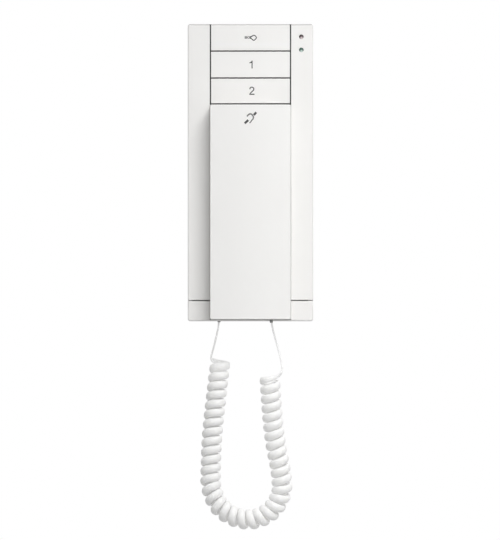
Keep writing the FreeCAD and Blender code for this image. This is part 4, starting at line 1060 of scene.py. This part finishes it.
def capacitor_sleeve():
    """Dark sleeves with a pale stripe and its minus signs, and bare tops with a cross pressed in."""
    finish = Finish("capacitor_sleeve_print")
    where = object_place(finish)
    x, out, z = millimetres(finish, where)
    lower = absolute(z - CAPACITOR_Z[0])
    upper = absolute(z - CAPACITOR_Z[1])
    aside = finish.maths("MINIMUM", lower, upper)
    stripe = (x > CAPACITOR_X + STRIPE_FROM) * (aside < STRIPE_HALF)
    dash = stripe * (beside(finish, out, DASH_PITCH) < DASH_HALF_LENGTH) * (aside < DASH_HALF_WIDTH)
    top = out > CAPACITOR_TOP
    cross = (1.0 - rising(finish, finish.maths("MINIMUM", aside, absolute(x - CAPACITOR_X)), 0.15, 0.3)) * top
    film = noise(finish, where, 1.2)
    sleeve = mixed(finish, film, (0.012, 0.016, 0.040), (0.020, 0.026, 0.058))
    sleeve = mixed(finish, stripe, sleeve, (0.55, 0.56, 0.58))
    sleeve = mixed(finish, dash, sleeve, (0.02, 0.02, 0.04))
    return finish.end(principled(
        finish, Base_Color=mixed(finish, top, sleeve, (0.60, 0.60, 0.61)), Metallic=top,
        Roughness=0.28 + film * 0.14, Normal=bumps(finish, 1.0 - cross, 0.2, bumps(finish, film, 0.02)),
    ))


def copper_winding():
    """Rings of thin copper wire round the coil's middle. Their height is 1 - (2 x distance / pitch)^2,
    with the distance taken from the nearest ring."""
    finish = Finish("copper_winding")
    where = object_place(finish)
    x, out, z = millimetres(finish, where)
    away = apart(x, z, 0.0, COIL_MIDDLE_Z)
    wires = beside(finish, away, WIRE_PITCH) * (2 / WIRE_PITCH)
    stain = noise(finish, where, 2.0)
    return finish.end(principled(
        finish, Base_Color=mixed(finish, stain, (0.50, 0.20, 0.07), (0.62, 0.29, 0.12)), Metallic=1.0,
        Roughness=0.30 + stain * 0.15, Normal=bumps(finish, 1.0 - wires * wires, 0.07),
    ))


def wire_pair(name, first_x, shift, first_z, last_z, shift_stops=((0.0, 0.0), (1.0, 0.0))):
    """Wires side by side: red left of the pair's middle and black right of it. On the way from the first z
    to the last, the middle's x is the first x plus the shift times what a ramp gives at that share."""
    finish = Finish(name)
    where = object_place(finish)
    x, out, z = millimetres(finish, where)
    share = (z - first_z) / (last_z - first_z)
    bend = finish.node("ShaderNodeValToRGB", {"stops": shift_stops}, {"Fac": share})
    middle = finish.node("ShaderNodeSeparateColor", None, {0: bend}) * shift + first_x
    film = noise(finish, where, 0.8)
    red = mixed(finish, film, (0.42, 0.022, 0.018), (0.52, 0.034, 0.026))
    black = mixed(finish, film, (0.014, 0.014, 0.015), (0.028, 0.028, 0.030))
    return finish.end(principled(
        finish, Base_Color=mixed(finish, x > middle, red, black), Roughness=0.36 + film * 0.12,
        Normal=bumps(finish, film, 0.015), IOR=1.5,
    ))


def lamp_resin():
    """Pale bodies with a window of yellow resin in the middle of each."""
    finish = Finish("lamp_resin")
    where = object_place(finish)
    x, out, z = millimetres(finish, where)
    away = finish.maths("MINIMUM", apart(x, z, LAMP_X, RED_LAMP_Z), apart(x, z, LAMP_X, GREEN_LAMP_Z))
    window = 1.0 - rising(finish, away, RESIN_RADIUS - RESIN_BLUR, RESIN_RADIUS + RESIN_BLUR)
    resin = window * (out > RESIN_OUT)
    film = noise(finish, where, 0.3)
    body = mixed(finish, film, (0.74, 0.73, 0.70), (0.80, 0.79, 0.76))
    return finish.end(principled(
        finish, Base_Color=mixed(finish, resin, body, (0.72, 0.60, 0.22)), Roughness=0.38 - resin * 0.2,
        Normal=bumps(finish, film, 0.01), IOR=1.5,
    ))


def clear_plastic(name, tint, roughness, through):
    """Clear or milky plastic: haze from noise, and the share of light that goes through."""
    finish = Finish(name)
    where = object_place(finish)
    haze = noise(finish, where, 1.0)
    duller = tuple(part * 0.93 for part in tint)
    return finish.end(principled(
        finish, Base_Color=mixed(finish, haze, tint, duller), Roughness=roughness + haze * 0.10,
        Normal=bumps(finish, haze, 0.02), Transmission_Weight=through, IOR=1.49,
    ))


black_plastic = moulded_plastic(
    "black_plastic", (0.030, 0.030, 0.032), (0.018, 0.018, 0.020), 0.46, 0.30, 0.02, 8.0
)
black_gloss = moulded_plastic(
    "black_gloss", (0.024, 0.024, 0.026), (0.014, 0.014, 0.015), 0.26, 0.40, 0.006, 8.0
)
chip_resin = moulded_plastic(
    "chip_resin", (0.040, 0.040, 0.042), (0.022, 0.022, 0.024), 0.60, 0.12, 0.012, 4.0
)
terminal_green = moulded_plastic(
    "terminal_green", (0.030, 0.150, 0.048), (0.020, 0.115, 0.036), 0.42, 0.30, 0.01, 9.0
)
rotor_cream = moulded_plastic(
    "rotor_cream", (0.80, 0.77, 0.67), (0.72, 0.69, 0.58), 0.40, 0.25, 0.01, 5.0
)
rubber = moulded_plastic(
    "rubber", (0.045, 0.045, 0.046), (0.028, 0.028, 0.029), 0.72, 0.18, 0.02, 5.0
)
# Grey collars, whose tone is also painted shade where the leads leave their plugs.
collar_grey_and_shade = moulded_plastic(
    "collar_grey_and_shade", (0.34, 0.34, 0.335), (0.28, 0.28, 0.275), 0.60, 0.20, 0.01, 5.0
)
dress(black_plastic, "switch_stem_door", "switch_stem_one", "switch_stem_two", "key_switches", "hook_switch")
dress(black_plastic, "ringer_speaker", "receiver_capsule", "address_switches")
dress(black_gloss, "base_socket", "handset_socket")
dress(chip_resin, "board_chips")
dress(terminal_green, "terminal_block")
dress(rotor_cream, "address_rotor_left", "address_rotor_right")
dress(rubber, "receiver_gasket", "microphone_boot")
dress(capacitor_sleeve(), "board_capacitors")
dress(copper_winding(), "hearing_aid_coil")
dress(lamp_resin(), "status_leds")
dress(clear_plastic("clear_plug", (0.86, 0.87, 0.87), 0.08, 0.75), "base_plug", "handset_plug")
dress(clear_plastic("milky_bumper", (0.80, 0.80, 0.78), 0.32, 0.45), "cradle_bumpers")
RECEIVER_BENDS = [
    (0.0, 0.0), (0.062, 0.0), (0.17, 0.21), (0.36, 0.58), (0.59, 0.89), (0.81, 1.0), (1.0, 1.0),
]
SOCKET_BENDS = [
    (0.0, 0.0), (0.086, 0.0), (0.24, 0.62), (0.47, 1.0), (0.71, 0.31), (0.885, 0.0), (1.0, 0.0),
]
dress(wire_pair("ringer_wires", 9.0, 0.0, -28.6, -14.5), "ringer_leads")
dress(wire_pair("microphone_wires", 0.0, 0.0, -90.0, -80.0), "microphone_leads")
dress(wire_pair("receiver_wires", 0.0, 7.2, 14.0, -74.5, RECEIVER_BENDS), "receiver_leads")
dress(wire_pair("socket_wires", -22.3, 1.3, -83.9, -14.5, SOCKET_BENDS), "socket_leads")
for made in (base_collar, handset_collar):
    made.data.materials.append(collar_grey_and_shade)
print("electronic parts ready")
